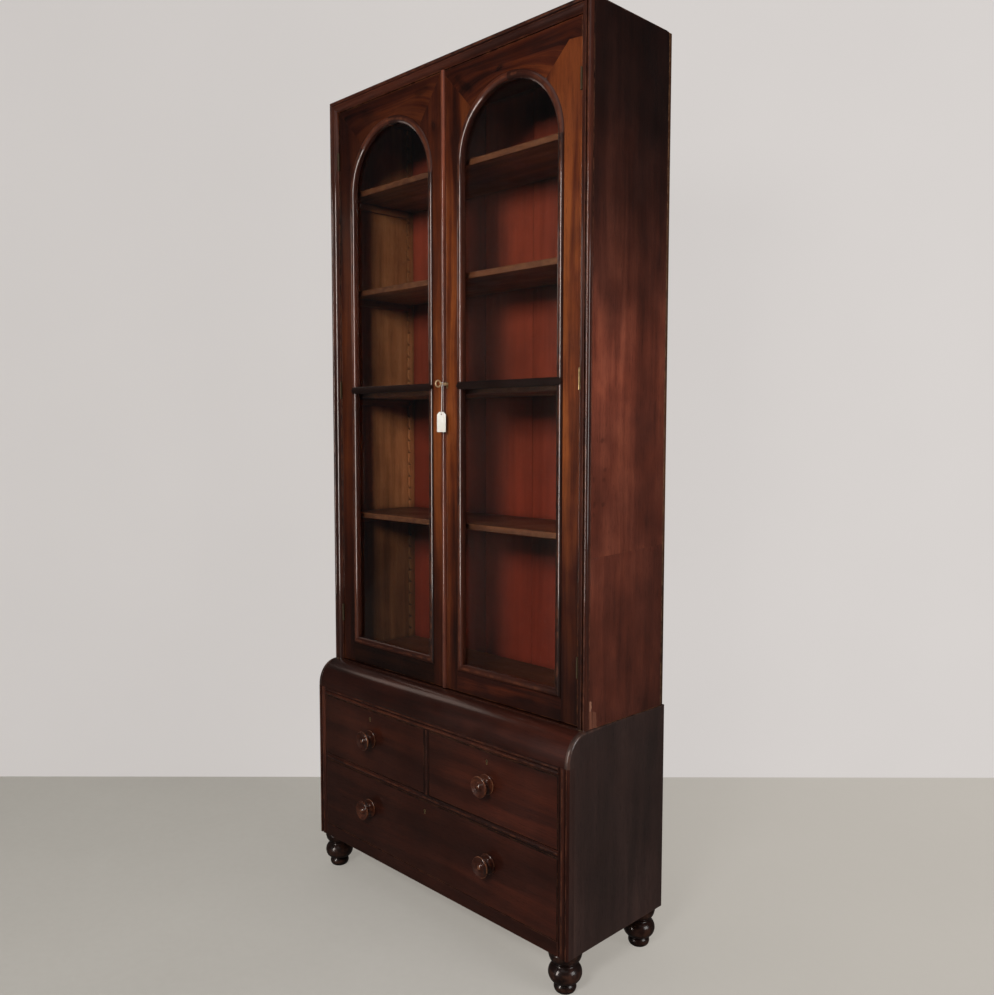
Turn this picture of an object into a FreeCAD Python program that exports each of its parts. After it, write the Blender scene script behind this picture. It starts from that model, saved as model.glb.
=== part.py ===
# Glazed display cabinet on a chest of drawers, a two-part case piece.
# Upper case: open shelving behind two arched glazed doors.
# Lower case: cushion-moulded frieze, two short drawers over one long drawer,
# turned knobs and turned bun feet.
# Millimetres. X runs along the front, -Y is the front, +Z is up.
# The origin is at the floor, in the middle of the footprint.
import FreeCAD, Part
import os, math
from FreeCAD import Vector as V

os.makedirs("parts", exist_ok=True)

# ---------------------------------------------------------------- driving sizes
H_TOTAL = 2286.0        # overall height
W_UP = 996.0            # width of the upper case
W_LOW = 1000.0          # width of the lower case
D_UP = 306.5            # depth of the upper case, back to frame moulding
D_LOW = 371.5           # depth of the lower case, back to bead crests
KNOB_OUT = 33.0         # how far a knob stands out of a drawer front
FACE_BACK = 2.0         # drawer faces sit this far behind the bead crests
BACK_STEP = 5.0         # the lower case reaches this far behind the upper one
Z_CARCASS = 100.5       # underside of the lower carcass, above the feet
Z_JOINT = 631.5         # top of the lower case, where the upper case stands
T_SIDE = 22.0           # case sides
T_BACK = 12.0           # back boards

YB_LOW = 204.0                                     # back of the lower case
YF_LOW = YB_LOW - D_LOW                            # bead crests of the lower front
Y_DRW = YF_LOW + FACE_BACK                         # drawer faces
YB_UP = YB_LOW - BACK_STEP                         # back of the upper case
YF_UP = YB_UP - D_UP                               # front of the frame moulding
PROUD = 12.0                                       # frame moulding over door faces
Y_DOOR = YF_UP + PROUD                             # door faces
T_DOOR = 22.0
YB_DOOR = Y_DOOR + T_DOOR
FRAME_W = 32.0                                     # width of the frame moulding
X_OPEN = W_UP / 2 - FRAME_W                        # half width of the door opening
Z_OPEN = H_TOTAL - FRAME_W                         # top of the door opening
T_FACE = 25.0                                      # face frame behind the moulding
Y_FACEB = Y_DOOR + T_FACE
X_IN_UP = W_UP / 2 - T_SIDE                        # inner faces of the upper sides
X_IN_LOW = W_LOW / 2 - T_SIDE                      # inner faces of the lower sides

# doors
GAP = 1.5
X_MEET = -11.0                                     # line where the doors meet
Z_D0 = Z_JOINT + 2.1
Z_D1 = Z_OPEN - GAP
PANE_CX = 230.0                                    # centres of the glazed openings
PANE_R = 182.5                                     # half width, outside the moulding
Z_SPRING = 2007.0                                  # spring line of the arches
Z_PANE0 = 690.0                                    # bottom, outside the moulding
MOULD_W = 20.0                                     # width of the glazing moulding
ARCH_SEGS = 4                                      # segments of an arched moulding
MOULD_PROUD = 4.2                                  # its height over the door face
MOULD_D = 20.0                                     # its depth behind the door face
GLASS_D = 11.0                                     # door face to glass
GLASS_T = 3.0
Z_BAR = 1443.0                                     # horizontal glazing bar
BAR_H = 10.0                                       # half its height
ASTR_W = 14.0                                      # meeting bead

# hinges
HINGE_Z = (775.0, 1446.5, 2112.5)
HINGE_H = 50.0
KNUCKLE_R = 3.0
PIN_R = 1.5
HX = X_OPEN - 0.5                                  # hinge axis
HY = Y_DOOR - 3.1
LEAF_T = 1.6

# shelves
SHELF_T = 16.0
SHELF_TOPS = (1080.5, 1439.0, 1738.5, 2026.0)
Y_SHELF0 = -57.0
Z_FLOOR_UP = 658.0                                 # top of the upper bottom board
T_TOP = 22.0

# key
KEY_X, KEY_Z = 8.5, 1449.0

# lower front
Z_FRIEZE0 = 556.0
Z_DRW1 = 533.5                                     # top of the short drawer openings
Z_MID1, Z_MID0 = 356.0, 338.0                      # middle rail
Z_BOT1 = 136.5                                     # top of the bottom rail
STILE_W = 32.0
X_DOPEN = W_LOW / 2 - STILE_W                      # half width of the drawer opening
RAIL_D = 23.0                                      # depth of rails and stiles
YB_RAIL = YF_LOW + RAIL_D
DIV_W = 18.0
ELL_A, ELL_B = 60.0, Z_JOINT - 561.0               # cushion profile
DGAP = 1.3
KNOB_Z_SHORT, KNOB_Z_LONG = 449.0, 246.0
KNOB_X_SHORT, KNOB_X_LONG = 238.5, 243.0
KNOB_DX = -8.0                                     # knobs and keyholes sit this far left of centre
KEYHOLE_Z_SHORT, KEYHOLE_Z_LONG = 508.0, 310.0


# ---------------------------------------------------------------- helpers
def box(x0, x1, y0, y1, z0, z1):
    return Part.makeBox(x1 - x0, y1 - y0, z1 - z0, V(x0, y0, z0))


def cyl(r, h, p, d):
    return Part.makeCylinder(r, h, V(*p), V(*d))


def face_of(items, plane):
    """Closed face from points and ('arc', mid, end) items in a plane of two axes."""
    def p3(q):
        return plane(q[0], q[1])
    edges = []
    cur = items[0]
    for it in items[1:] + [items[0]]:
        if isinstance(it[0], str):
            edges.append(Part.Arc(p3(cur), p3(it[1]), p3(it[2])).toShape())
            cur = it[2]
        else:
            if (p3(cur) - p3(it)).Length > 1e-6:
                edges.append(Part.LineSegment(p3(cur), p3(it)).toShape())
            cur = it
    return Part.Face(Part.Wire(Part.__sortEdges__(edges)))


def prism(items, plane, vec):
    return face_of(items, plane).extrude(V(*vec))


def xz(y):
    return lambda a, b: V(a, y, b)


def yz(x):
    return lambda a, b: V(x, a, b)


def xy(z):
    return lambda a, b: V(a, b, z)


def mirror(s):
    return s.mirror(V(0, 0, 0), V(1, 0, 0))


def revolve_y(items, x, y, z):
    """Turned piece about an axis along Y. Items are (distance in front of y, radius)."""
    f = face_of(items, lambda d, r: V(x + r, y - d, z))
    return f.revolve(V(x, y, z), V(0, 1, 0), 360)


def keyhole(x, z, y0, y1, r, w, drop):
    """Keyhole-shaped prism along Y: a round hole with a slot below it."""
    a = cyl(r, y1 - y0, (x, y0, z), (0, 1, 0))
    b = box(x - w / 2, x + w / 2, y0, y1, z - drop, z)
    return a.fuse(b).removeSplitter()


nodes = {}


def put(name, *shapes):
    sols = []
    for s in shapes:
        sols += list(s.Solids) if s.ShapeType != "Solid" else [s]
    nodes[name] = sols[0] if len(sols) == 1 else Part.makeCompound(sols)


# ---------------------------------------------------------------- upper case
xs = W_UP / 2
side_l = box(-xs, -X_IN_UP, Y_FACEB, YB_UP, Z_JOINT, H_TOTAL)
put("upper_side_left", side_l)
put("upper_side_right", mirror(side_l))

top = box(-X_IN_UP, X_IN_UP, Y_FACEB, YB_UP - T_BACK, H_TOTAL - T_TOP, H_TOTAL)
bot = box(-X_IN_UP, X_IN_UP, Y_FACEB, YB_UP - T_BACK, Z_JOINT, Z_FLOOR_UP)
# a tongue between the face-frame stiles, which the doors close against
bot = bot.fuse(box(-X_OPEN, X_OPEN, YB_DOOR + 0.5, Y_FACEB, Z_JOINT, Z_FLOOR_UP)).removeSplitter()
BOLT_X, BOLT_R = -32.0, 2.8
BOLT_Y = YB_DOOR + 8.0
bot = bot.cut(cyl(BOLT_R + 0.5, 16.0, (BOLT_X, BOLT_Y, Z_FLOOR_UP - 16.0), (0, 0, 1)))
put("upper_top_board", top)
put("upper_bottom_board", bot)

joints_x = (-X_IN_UP, -327.0, -137.0, 53.0, 243.0, X_IN_UP)
boards = []
for a, b in zip(joints_x[:-1], joints_x[1:]):
    g0 = 0.0 if a == joints_x[0] else 0.4
    g1 = 0.0 if b == joints_x[-1] else 0.4
    s = box(a + g0, b - g1, YB_UP - T_BACK, YB_UP, Z_JOINT, H_TOTAL)
    boards.append(s)
put("upper_back_boards", *boards)

# face frame that the doors close into, with hinge leaves let in
stile = box(-xs, -X_OPEN, Y_DOOR, Y_FACEB, Z_JOINT, H_TOTAL)
for hz in HINGE_Z:
    stile = stile.cut(box(-X_OPEN - LEAF_T, -X_OPEN + 1, Y_DOOR - 1, Y_DOOR + 19.0,
                          hz - HINGE_H / 2, hz + HINGE_H / 2))
rail = box(-X_OPEN, X_OPEN, Y_DOOR, Y_FACEB, Z_OPEN, H_TOTAL)
put("case_face_frame", stile, mirror(stile), rail)

# frame moulding: an outer bead, a quirk, and a wide ovolo down to the doors
MP = [(0.0, 0.0), (0.0, 6.0), ("arc", (6.0 - 6.0 * math.cos(math.radians(50)), 6.0 + 6.0 * math.sin(math.radians(50))), (6.0, 12.0)),
      ("arc", (6.0 + 6.0 * math.sin(math.radians(35)), 6.0 + 6.0 * math.cos(math.radians(35))), (6.0 + 6.0 * math.sin(math.radians(72)), 6.0 + 6.0 * math.cos(math.radians(72)))),
      (12.4, 7.2), (13.2, 11.0),
      ("arc", (24.9, 8.6), (FRAME_W - 1.2, 1.6)), (FRAME_W, 1.6), (FRAME_W, 0.0)]


def map_items(items, fn):
    out = []
    for it in items:
        if isinstance(it[0], str):
            out.append((it[0], fn(*it[1]), fn(*it[2])))
        else:
            out.append(fn(*it))
    return out


fm = prism(map_items(MP, lambda s, d: (-xs + s, Y_DOOR - d)), xy(Z_JOINT), (0, 0, H_TOTAL - Z_JOINT))
fm = fm.cut(prism([(-xs, H_TOTAL), (-xs + 60, H_TOTAL), (-xs + 60, H_TOTAL - 60)],
                  xz(YF_UP - 5), (0, 30, 0)))
for hz in HINGE_Z:
    fm = fm.cut(box(HX * -1 - KNUCKLE_R - 0.25, -X_OPEN + 1, HY - KNUCKLE_R - 0.4, Y_DOOR + 1,
                    hz - HINGE_H / 2 - 0.4, hz + HINGE_H / 2 + 0.4))
put("frame_moulding_sides", fm, mirror(fm))
ft = prism(map_items(MP, lambda s, d: (Y_DOOR - d, H_TOTAL - s)), yz(-xs), (W_UP, 0, 0))
for sx in (-1, 1):
    ft = ft.cut(prism([(sx * xs, H_TOTAL), (sx * xs, H_TOTAL - 60), (sx * (xs - 60), H_TOTAL - 60)],
                      xz(YF_UP - 5), (0, 30, 0)))
put("frame_moulding_top", ft)

# sawtooth strips on the sides, shelves notched round them, and bearers
LY0, LY1 = -52.0, -28.0
LY2, LY3 = YB_UP - T_BACK - 20.0, YB_UP - T_BACK
LAD_T = 8.0
SX, SN, SF, SB = X_IN_UP - 1.0, X_IN_UP - LAD_T - 0.4, LY1 + 0.4, LY2 - 0.4
half = [(SN, Y_SHELF0), (SN, SF), (SX, SF), (SX, SB), (SN, SB), (SN, YB_UP - T_BACK - 2)]
outline = half + [(-x, y) for x, y in half[::-1]]
put("shelves", *[prism(outline, xy(z - SHELF_T), (0, 0, SHELF_T)) for z in SHELF_TOPS])

TOOTH = 38.0
Z_LAD1 = H_TOTAL - T_TOP


def ladder(y0, y1, flip):
    """Strip on a case side whose inner edge is cut in upright saw teeth."""
    a, b = (y0, y1) if not flip else (y1, y0)
    pts = [(a, Z_FLOOR_UP), (b, Z_FLOOR_UP)]
    z = Z_FLOOR_UP
    cut = 9.0 if not flip else -9.0
    while z + TOOTH < Z_LAD1 - 4:
        pts += [(b, z + TOOTH - 13.0), (b - cut, z + TOOTH - 13.0 + 0.6), (b, z + TOOTH)]
        z += TOOTH
    pts += [(b, Z_LAD1), (a, Z_LAD1)]
    return pts


lads = []
for sx in (-1, 1):
    x0 = sx * X_IN_UP if sx < 0 else X_IN_UP - LAD_T
    for (a, b, fl) in ((LY0, LY1, False), (LY2, LY3, True)):
        lads.append(prism(ladder(a, b, fl), yz(x0), (LAD_T, 0, 0)))
put("shelf_ladders", *lads)
bearers = []
for z in SHELF_TOPS:
    for sx in (-1, 1):
        x0 = -X_IN_UP if sx < 0 else X_IN_UP - 9.0
        bearers.append(box(x0, x0 + 9.0, LY1 + 0.3, LY2 - 0.3, z - SHELF_T - 20.0, z - SHELF_T))
put("shelf_bearers", *bearers)

# ---------------------------------------------------------------- hinges
SEG = HINGE_H / 5.0


def leaf(sx, hz, door):
    """Hinge leaf with its knuckles. sx is the side; door leaves carry knuckles 2 and 4."""
    if door:
        x_in, x_out = X_OPEN - GAP + 0.2, X_OPEN - GAP + 0.2 - LEAF_T
        segs, other = (1, 3), (0, 2, 4)
        y1 = Y_DOOR + 18.0
    else:
        x_in, x_out = X_OPEN, X_OPEN + LEAF_T
        segs, other = (0, 2, 4), (1, 3)
        y1 = Y_DOOR + 19.0
    xa, xb = sorted((x_in, x_out))
    z0 = hz - HINGE_H / 2
    p = box(xa, xb, HY, y1, z0, z0 + HINGE_H)
    for k in other:
        p = p.cut(cyl(KNUCKLE_R + 0.25, SEG + 0.3, (HX, HY, z0 + k * SEG - 0.15), (0, 0, 1)))
    for k in segs:
        p = p.fuse(cyl(KNUCKLE_R, SEG - 0.24, (HX, HY, z0 + k * SEG + 0.12), (0, 0, 1)))
    r = PIN_R + (0.05 if door else 0.0)
    p = p.cut(cyl(r, HINGE_H + 2, (HX, HY, z0 - 1), (0, 0, 1)))
    # screw holes, countersunk from the open face
    for dz in (-17.0, 0.0, 17.0):
        yy = Y_DOOR + 11.0
        p = p.cut(cyl(1.4, 6, (xa - 2, yy, hz + dz), (1, 0, 0)))
    p = p.removeSplitter()
    return p if sx > 0 else mirror(p)


def pin(sx, hz):
    p = cyl(PIN_R, HINGE_H, (HX, HY, hz - HINGE_H / 2), (0, 0, 1))
    return p if sx > 0 else mirror(p)


put("hinge_case_leaves", *([leaf(s, z, False) for s in (-1, 1) for z in HINGE_Z]
                           + [pin(s, z) for s in (-1, 1) for z in HINGE_Z]))
put("door_left_hinge_leaves", *[leaf(-1, z, True) for z in HINGE_Z])
put("door_right_hinge_leaves", *[leaf(1, z, True) for z in HINGE_Z])

# ---------------------------------------------------------------- doors
X_EDGE = X_OPEN - GAP + 0.2          # hinge edge of a door
SHOULDER = 12.0                      # stiles step back beside the arched rail


def door(sx):
    """Frame, moulding and glass of one door, built on the side sx."""
    cx = sx * PANE_CX
    meet = X_MEET - GAP / 2 if sx < 0 else X_MEET + GAP / 2
    hin, mee = sx * X_EDGE, meet
    po = cx + sx * PANE_R             # pane edge beside the hinge stile
    pi = cx - sx * PANE_R             # pane edge beside the meeting stile
    y0, th = Y_DOOR, T_DOOR

    def stile_of(edge, pane, d):
        # d: direction from the pane to the edge
        return prism([(edge, Z_D0), (pane, Z_D0), (pane, Z_SPRING), (pane + d * SHOULDER, Z_SPRING),
                      (pane + d * SHOULDER, Z_D1), (edge, Z_D1)], xz(y0), (0, th, 0))
    hs = stile_of(hin, po, sx)
    ms = stile_of(mee, pi, -sx)
    for hz in HINGE_Z:
        c = box(X_EDGE - LEAF_T, X_EDGE + 1, Y_DOOR - 1, Y_DOOR + 18.0, hz - HINGE_H / 2, hz + HINGE_H / 2)
        hs = hs.cut(c if sx > 0 else mirror(c))
    a, b = sorted((po + sx * SHOULDER, pi - sx * SHOULDER))
    tr = box(a, b, y0, y0 + th, Z_SPRING, Z_D1)
    tr = tr.cut(cyl(PANE_R, th + 2, (cx, y0 - 1, Z_SPRING), (0, 1, 0)))
    a, b = sorted((po, pi))
    br = box(a, b, y0, y0 + th, Z_D0, Z_PANE0)

    # glazing moulding section: (distance in from its outer edge, height over the door face).
    # A flat half-round bead in front, and a rebate behind for the glass.
    sec = [(0.0, -MOULD_D), (0.0, 0.2), ("arc", (9.6, MOULD_PROUD), (19.2, 0.2)), (MOULD_W, -0.8),
           (MOULD_W, -GLASS_D), (8.0, -GLASS_D), (8.0, -MOULD_D)]
    bead = [(8.2, -GLASS_D - GLASS_T - 0.1), (8.2, -MOULD_D + 0.6), (13.5, -MOULD_D + 0.6),
            (19.0, -GLASS_D - GLASS_T - 0.1)]

    def ring(section):
        out = []
        x_r, x_l = cx + PANE_R, cx - PANE_R
        f = face_of(map_items(section, lambda s, d: (x_r - s, Y_DOOR - d)), xy(Z_SPRING))
        for k in range(ARCH_SEGS):           # the arch is built up from equal segments
            g = f.revolve(V(cx, 0, Z_SPRING), V(0, -1, 0), 180.0 / ARCH_SEGS)
            g.rotate(V(cx, 0, Z_SPRING), V(0, -1, 0), 180.0 / ARCH_SEGS * k)
            out.append(g)
        for sgn, xo in ((1, x_r), (-1, x_l)):
            v = prism(map_items(section, lambda s, d: (xo - sgn * s, Y_DOOR - d)), xy(Z_PANE0),
                      (0, 0, Z_SPRING - Z_PANE0))
            v = v.cut(prism([(xo, Z_PANE0), (xo - sgn * 30, Z_PANE0), (xo - sgn * 30, Z_PANE0 + 30)],
                            xz(Y_DOOR - 10), (0, 50, 0)))
            out.append(v)
        h = prism(map_items(section, lambda s, d: (Y_DOOR - d, Z_PANE0 + s)), yz(x_l), (x_r - x_l, 0, 0))
        for sgn, xo in ((1, x_r), (-1, x_l)):
            h = h.cut(prism([(xo, Z_PANE0), (xo, Z_PANE0 + 30), (xo - sgn * 30, Z_PANE0 + 30)],
                            xz(Y_DOOR - 10), (0, 50, 0)))
        out.append(h)
        return out

    mould = ring(sec)
    beads = ring(bead)
    # the bar: a flat round bead a little prouder than the moulding, its ends pointed over it
    xi = PANE_R - 7.5
    outline = [(cx - PANE_R, Z_BAR), (cx - xi, Z_BAR + BAR_H), (cx + xi, Z_BAR + BAR_H), (cx + PANE_R, Z_BAR),
               (cx + xi, Z_BAR - BAR_H), (cx - xi, Z_BAR - BAR_H)]
    env = prism(outline, xz(Y_DOOR - 8), (0, 8 + GLASS_D, 0))
    bsec = [(-BAR_H, -GLASS_D), (-BAR_H, 3.3), (-BAR_H + 0.9, 4.3), ("arc", (0.0, 5.4), (BAR_H - 0.9, 4.3)),
            (BAR_H, 3.3), (BAR_H, -GLASS_D)]
    bar = prism(map_items(bsec, lambda t, d: (Y_DOOR - d, Z_BAR + t)), yz(cx - PANE_R), (2 * PANE_R, 0, 0))
    bar = bar.common(env)
    stem = box(cx - PANE_R + 8.0, cx + PANE_R - 8.0, Y_DOOR + GLASS_D, Y_DOOR + MOULD_D - 0.6,
               Z_BAR - 1.5, Z_BAR + 1.5)
    bar = bar.fuse(stem).removeSplitter()
    mould = [m.cut(env) for m in mould]
    beads = [m.cut(stem) for m in beads]
    gy0, gy1 = Y_DOOR + GLASS_D, Y_DOOR + GLASS_D + GLASS_T
    gr = PANE_R - 8.5
    low = box(cx - gr, cx + gr, gy0, gy1, Z_PANE0 + 8.5, Z_BAR - 2.0)
    up = box(cx - gr, cx + gr, gy0, gy1, Z_BAR + 2.0, Z_SPRING).fuse(
        cyl(gr, GLASS_T, (cx, gy0, Z_SPRING), (0, 1, 0))).removeSplitter()
    return hs, ms, tr, br, mould + beads + [bar], (low, up)


for sx, nm in ((-1, "left"), (1, "right")):
    hs, ms, tr, br, mould, panes = door(sx)
    if sx > 0:
        # keyhole through the meeting stile, with a let-in brass lining
        ms = ms.cut(keyhole(KEY_X, KEY_Z, Y_DOOR - 1, YB_DOOR + 1, 3.2, 2.9, 9.6))
        ms = ms.cut(keyhole(KEY_X, KEY_Z, Y_DOOR - 1, Y_DOOR + 4, 4.6, 5.4, 10.8))
    put("door_%s_stiles" % nm, hs, ms)
    put("door_%s_top_rail" % nm, tr)
    put("door_%s_bottom_rail" % nm, br)
    put("door_%s_glazing_moulding" % nm, *mould)
    put("door_%s_panes" % nm, *panes)

# half-round bead that covers the meeting line, on the right door
ax0 = X_MEET + GAP / 2
astr = prism([(ax0, Y_DOOR), (ax0, Y_DOOR - 1.0), ("arc", (ax0 + ASTR_W / 2, Y_DOOR - 7.0), (ax0 + ASTR_W, Y_DOOR - 1.0)),
              (ax0 + ASTR_W, Y_DOOR)], xy(Z_D0), (0, 0, Z_D1 - Z_D0))
put("astragal", astr)

# lock on the back of the right door, its bolt and the keyhole lining
LX0, LX1 = -7.0, 27.0
LZ0, LZ1 = KEY_Z - 24.0, KEY_Z + 28.0
LD = 11.5
case = box(LX0, LX1, YB_DOOR, YB_DOOR + LD, LZ0, LZ1)
case = case.cut(box(LX0 + 1.2, LX1 - 1.2, YB_DOOR + 1.2, YB_DOOR + LD - 1.2, LZ0 + 1.2, LZ1 - 1.2))
case = case.cut(keyhole(KEY_X, KEY_Z, YB_DOOR - 1, YB_DOOR + 2, 3.2, 2.9, 9.6))
case = case.cut(cyl(2.66, 4, (KEY_X, YB_DOOR + LD - 2, KEY_Z), (0, 1, 0)))
BZ0, BZ1 = KEY_Z + 14.0, KEY_Z + 23.0
case = case.cut(box(LX0 - 1, LX0 + 2, YB_DOOR + 3.0, YB_DOOR + 9.0, BZ0 - 0.3, BZ1 + 0.3))
esc = keyhole(KEY_X, KEY_Z, Y_DOOR - 0.4, Y_DOOR + 4, 4.6, 5.4, 10.8).cut(
    keyhole(KEY_X, KEY_Z, Y_DOOR - 1, Y_DOOR + 5, 3.2, 2.9, 9.6))
put("door_lock", case, esc)
bolt = box(LX0, LX0 + 24.0, YB_DOOR + 3.3, YB_DOOR + 8.7, BZ0, BZ1)
put("lock_bolt", bolt)

# key: ring bow in an upright plane, shank, collar and bit
KR = 2.6
Y_BOW = Y_DOOR - 32.0
bow = Part.makeTorus(8.4, 1.9, V(KEY_X, Y_BOW, KEY_Z), V(1, 0, 0))
shank = cyl(KR, (YB_DOOR + LD - 0.2) - (Y_BOW + 8.2), (KEY_X, Y_BOW + 8.2, KEY_Z), (0, 1, 0))
collar = cyl(4.0, 2.2, (KEY_X, Y_DOOR - 9.0, KEY_Z), (0, 1, 0))
bit = box(KEY_X - 1.2, KEY_X + 1.2, YB_DOOR + 2.2, YB_DOOR + 9.4, KEY_Z - 9.2, KEY_Z)
bit = bit.cut(box(KEY_X - 2, KEY_X + 2, YB_DOOR + 5.2, YB_DOOR + 6.4, KEY_Z - 10, KEY_Z - 5.6))
key = bow.fuse([shank, collar, bit]).removeSplitter()
put("key", key)

# string loop round the shank, its string and the blank tag
Y_STR = Y_DOOR - 19.5
LOOP_R, STR_R = 3.9, 0.75
loop_z = KEY_Z - (LOOP_R - STR_R - KR - 0.3)
loop = Part.makeTorus(LOOP_R, STR_R, V(KEY_X, Y_STR, loop_z), V(0, 1, 0))
KNOT_Z = loop_z - LOOP_R - STR_R - 2.0 - 0.02
knot = Part.makeSphere(2.0, V(KEY_X, Y_STR, KNOT_Z))
put("string_loop", loop, knot)
TAG_W, TAG_H, TAG_T = 27.0, 53.0, 0.8
TAG_TURN = 16.0
STRING_R = 0.9
Z_TAG1 = 1376.0
# route of the string, from the knot's underside to the tag's top edge
ROUTE = [(KEY_X, Y_STR, KNOT_Z - 2.0 + 0.15), (KEY_X + 0.9, Y_STR - 0.5, KNOT_Z - 20.0),
         (KEY_X - 0.9, Y_STR + 0.4, KNOT_Z - 42.0), (KEY_X - 1.6, Y_STR, Z_TAG1)]


def tube(route, r, length_report):
    """Round tube along straight runs joined by tangent arcs."""
    pts = [V(*p) for p in route]
    edges, cur, total = [], pts[0], 0.0
    for i in range(1, len(pts) - 1):
        a, b, c = pts[i - 1], pts[i], pts[i + 1]
        u, w = (a - b), (c - b)
        la, lc = u.Length, w.Length
        u.normalize(); w.normalize()
        turn = math.pi - u.getAngle(w)
        tl = 0.45 * min(la, lc)
        rad = tl / math.tan(turn / 2)
        p1, p2 = b + u * tl, b + w * tl
        bis = (u + w); bis.normalize()
        cen = b + bis * (rad / math.cos(turn / 2))
        m = b - cen; m.normalize()
        mid = cen + m * rad
        edges.append(Part.LineSegment(cur, p1).toShape())
        edges.append(Part.Arc(p1, mid, p2).toShape())
        total += (p1 - cur).Length + rad * turn
        print("%s arc radius %.1f mm, turn %.1f deg" % (length_report, rad, math.degrees(turn)))
        cur = p2
    edges.append(Part.LineSegment(cur, pts[-1]).toShape())
    total += (pts[-1] - cur).Length
    wire = Part.Wire(edges)
    d = pts[1] - pts[0]
    d.normalize()
    prof = Part.Wire([Part.Circle(pts[0], d, r).toShape()])
    s = wire.makePipeShell([prof], True, True)
    print("%s length %.1f mm, volume %.1f, section x length %.1f" % (length_report, total, s.Volume, math.pi * r * r * total))
    return s if s.ShapeType == "Solid" else Part.Solid(s)


put("string", tube(ROUTE, STRING_R, "string"))
tx, ty = ROUTE[-1][0], ROUTE[-1][1]
TOP_CUT = 7.0
tag = prism([(-TAG_W / 2 + 1.5, -TAG_H), (TAG_W / 2 - 1.5, -TAG_H), (TAG_W / 2, -TAG_H + 1.5),
             (TAG_W / 2, -TOP_CUT), (TAG_W / 2 - TOP_CUT, 0.0), (-TAG_W / 2 + TOP_CUT, 0.0),
             (-TAG_W / 2, -TOP_CUT), (-TAG_W / 2, -TAG_H + 1.5)], xz(-TAG_T / 2), (0, TAG_T, 0))
tag = tag.cut(cyl(2.2, 4, (0, -2, -6.0), (0, 1, 0)))
tag.rotate(V(0, 0, 0), V(0, 0, 1), TAG_TURN)
tag.translate(V(tx, ty, Z_TAG1))
put("tag", tag)

# surface bolts at top and bottom of the left door's meeting stile
plates = []
PLT = 1.6
for z0, z1 in ((Z_FLOOR_UP + 6.0, Z_FLOOR_UP + 86.0), (Z_OPEN - 86.0, Z_OPEN - 6.0)):
    p = box(BOLT_X - 9.0, BOLT_X + 9.0, YB_DOOR, YB_DOOR + PLT, z0, z1)
    for zc in (z0 + 10.0, z1 - 10.0):
        st = box(BOLT_X - 6.0, BOLT_X + 6.0, YB_DOOR + PLT, BOLT_Y + BOLT_R + 1.4, zc - 5.0, zc + 5.0)
        st = st.cut(cyl(BOLT_R + 0.08, 12, (BOLT_X, BOLT_Y, zc - 6.0), (0, 0, 1)))
        p = p.fuse(st)
    plates.append(p.removeSplitter())
put("door_left_bolt_plates", *plates)


def rod(z0, z1, knob_z):
    s = cyl(BOLT_R, z1 - z0, (BOLT_X, BOLT_Y, z0), (0, 0, 1))
    k = cyl(2.0, 4.5, (BOLT_X, BOLT_Y + 1.0, knob_z), (0, 1, 0))
    return s.fuse(k).removeSplitter()


put("door_left_bolt_bottom", rod(Z_FLOOR_UP + 1.0, Z_FLOOR_UP + 84.0, Z_FLOOR_UP + 50.0))
# drawn back, the top bolt ends under the face frame's rail; shot, it stands behind it
put("door_left_bolt_top", rod(Z_OPEN - 85.0, Z_OPEN - 2.0, Z_OPEN - 51.0))

# ---------------------------------------------------------------- lower case
xl = W_LOW / 2


def ellipse_pts(a, b, n):
    cy, cz = YF_LOW + ELL_A, Z_JOINT - ELL_B
    return [(cy - a * math.cos(t), cz + b * math.sin(t)) for t in [math.pi / 2 * i / n for i in range(n + 1)]]


def ellipse_edge(a, b, plane):
    cy, cz = YF_LOW + ELL_A, Z_JOINT - ELL_B
    pts = [plane(*p) for p in ellipse_pts(a, b, 12)]
    c = Part.BSplineCurve()
    c.interpolate(pts)
    return c.toShape()


def cushion_solid(a, b, x0, x1, tail):
    """Prism along X whose front is the cushion curve; tail lists the (y, z) points after its top."""
    pl = yz(x0)
    start, end = ellipse_pts(a, b, 12)[0], ellipse_pts(a, b, 12)[-1]
    edges = [ellipse_edge(a, b, pl)]
    pts = [end] + tail + [start]
    for p, q in zip(pts[:-1], pts[1:]):
        edges.append(Part.LineSegment(pl(*p), pl(*q)).toShape())
    return Part.Face(Part.Wire(Part.__sortEdges__(edges))).extrude(V(x1 - x0, 0, 0))


cheek = cushion_solid(ELL_A, ELL_B, -xl, -X_IN_LOW,
                      [(YB_LOW, Z_JOINT), (YB_LOW, Z_CARCASS), (YB_RAIL, Z_CARCASS), (YB_RAIL, Z_FRIEZE0),
                       (YF_LOW, Z_FRIEZE0)])
FR_LAP = 10.0                                      # the frieze ends lap the cheeks by this
# round the outer front arris of the cheek
arris = [e for e in cheek.Edges
         if all(abs(v.Point.x + xl) < 1e-6 for v in e.Vertexes)
         and max(v.Point.y for v in e.Vertexes) <= YF_LOW + ELL_A + 1e-3
         and min(v.Point.z for v in e.Vertexes) >= Z_FRIEZE0 - 1e-3
         and not (abs(e.Vertexes[0].Point.z - Z_FRIEZE0) < 1e-3 and abs(e.Vertexes[-1].Point.z - Z_FRIEZE0) < 1e-3)]
try:
    r = cheek.makeFillet(6.0, arris)
    if r.isValid() and r.Volume > 0:
        cheek = r
        print("cheek arris rounded")
except Exception as ex:
    print("cheek arris left square:", ex)
cheek = cheek.cut(box(-X_IN_LOW - FR_LAP, -X_IN_LOW + 1, YF_LOW - 5, YF_LOW + ELL_A, Z_FRIEZE0, Z_JOINT + 1))
put("chest_side_left", cheek)
put("chest_side_right", mirror(cheek))

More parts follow.
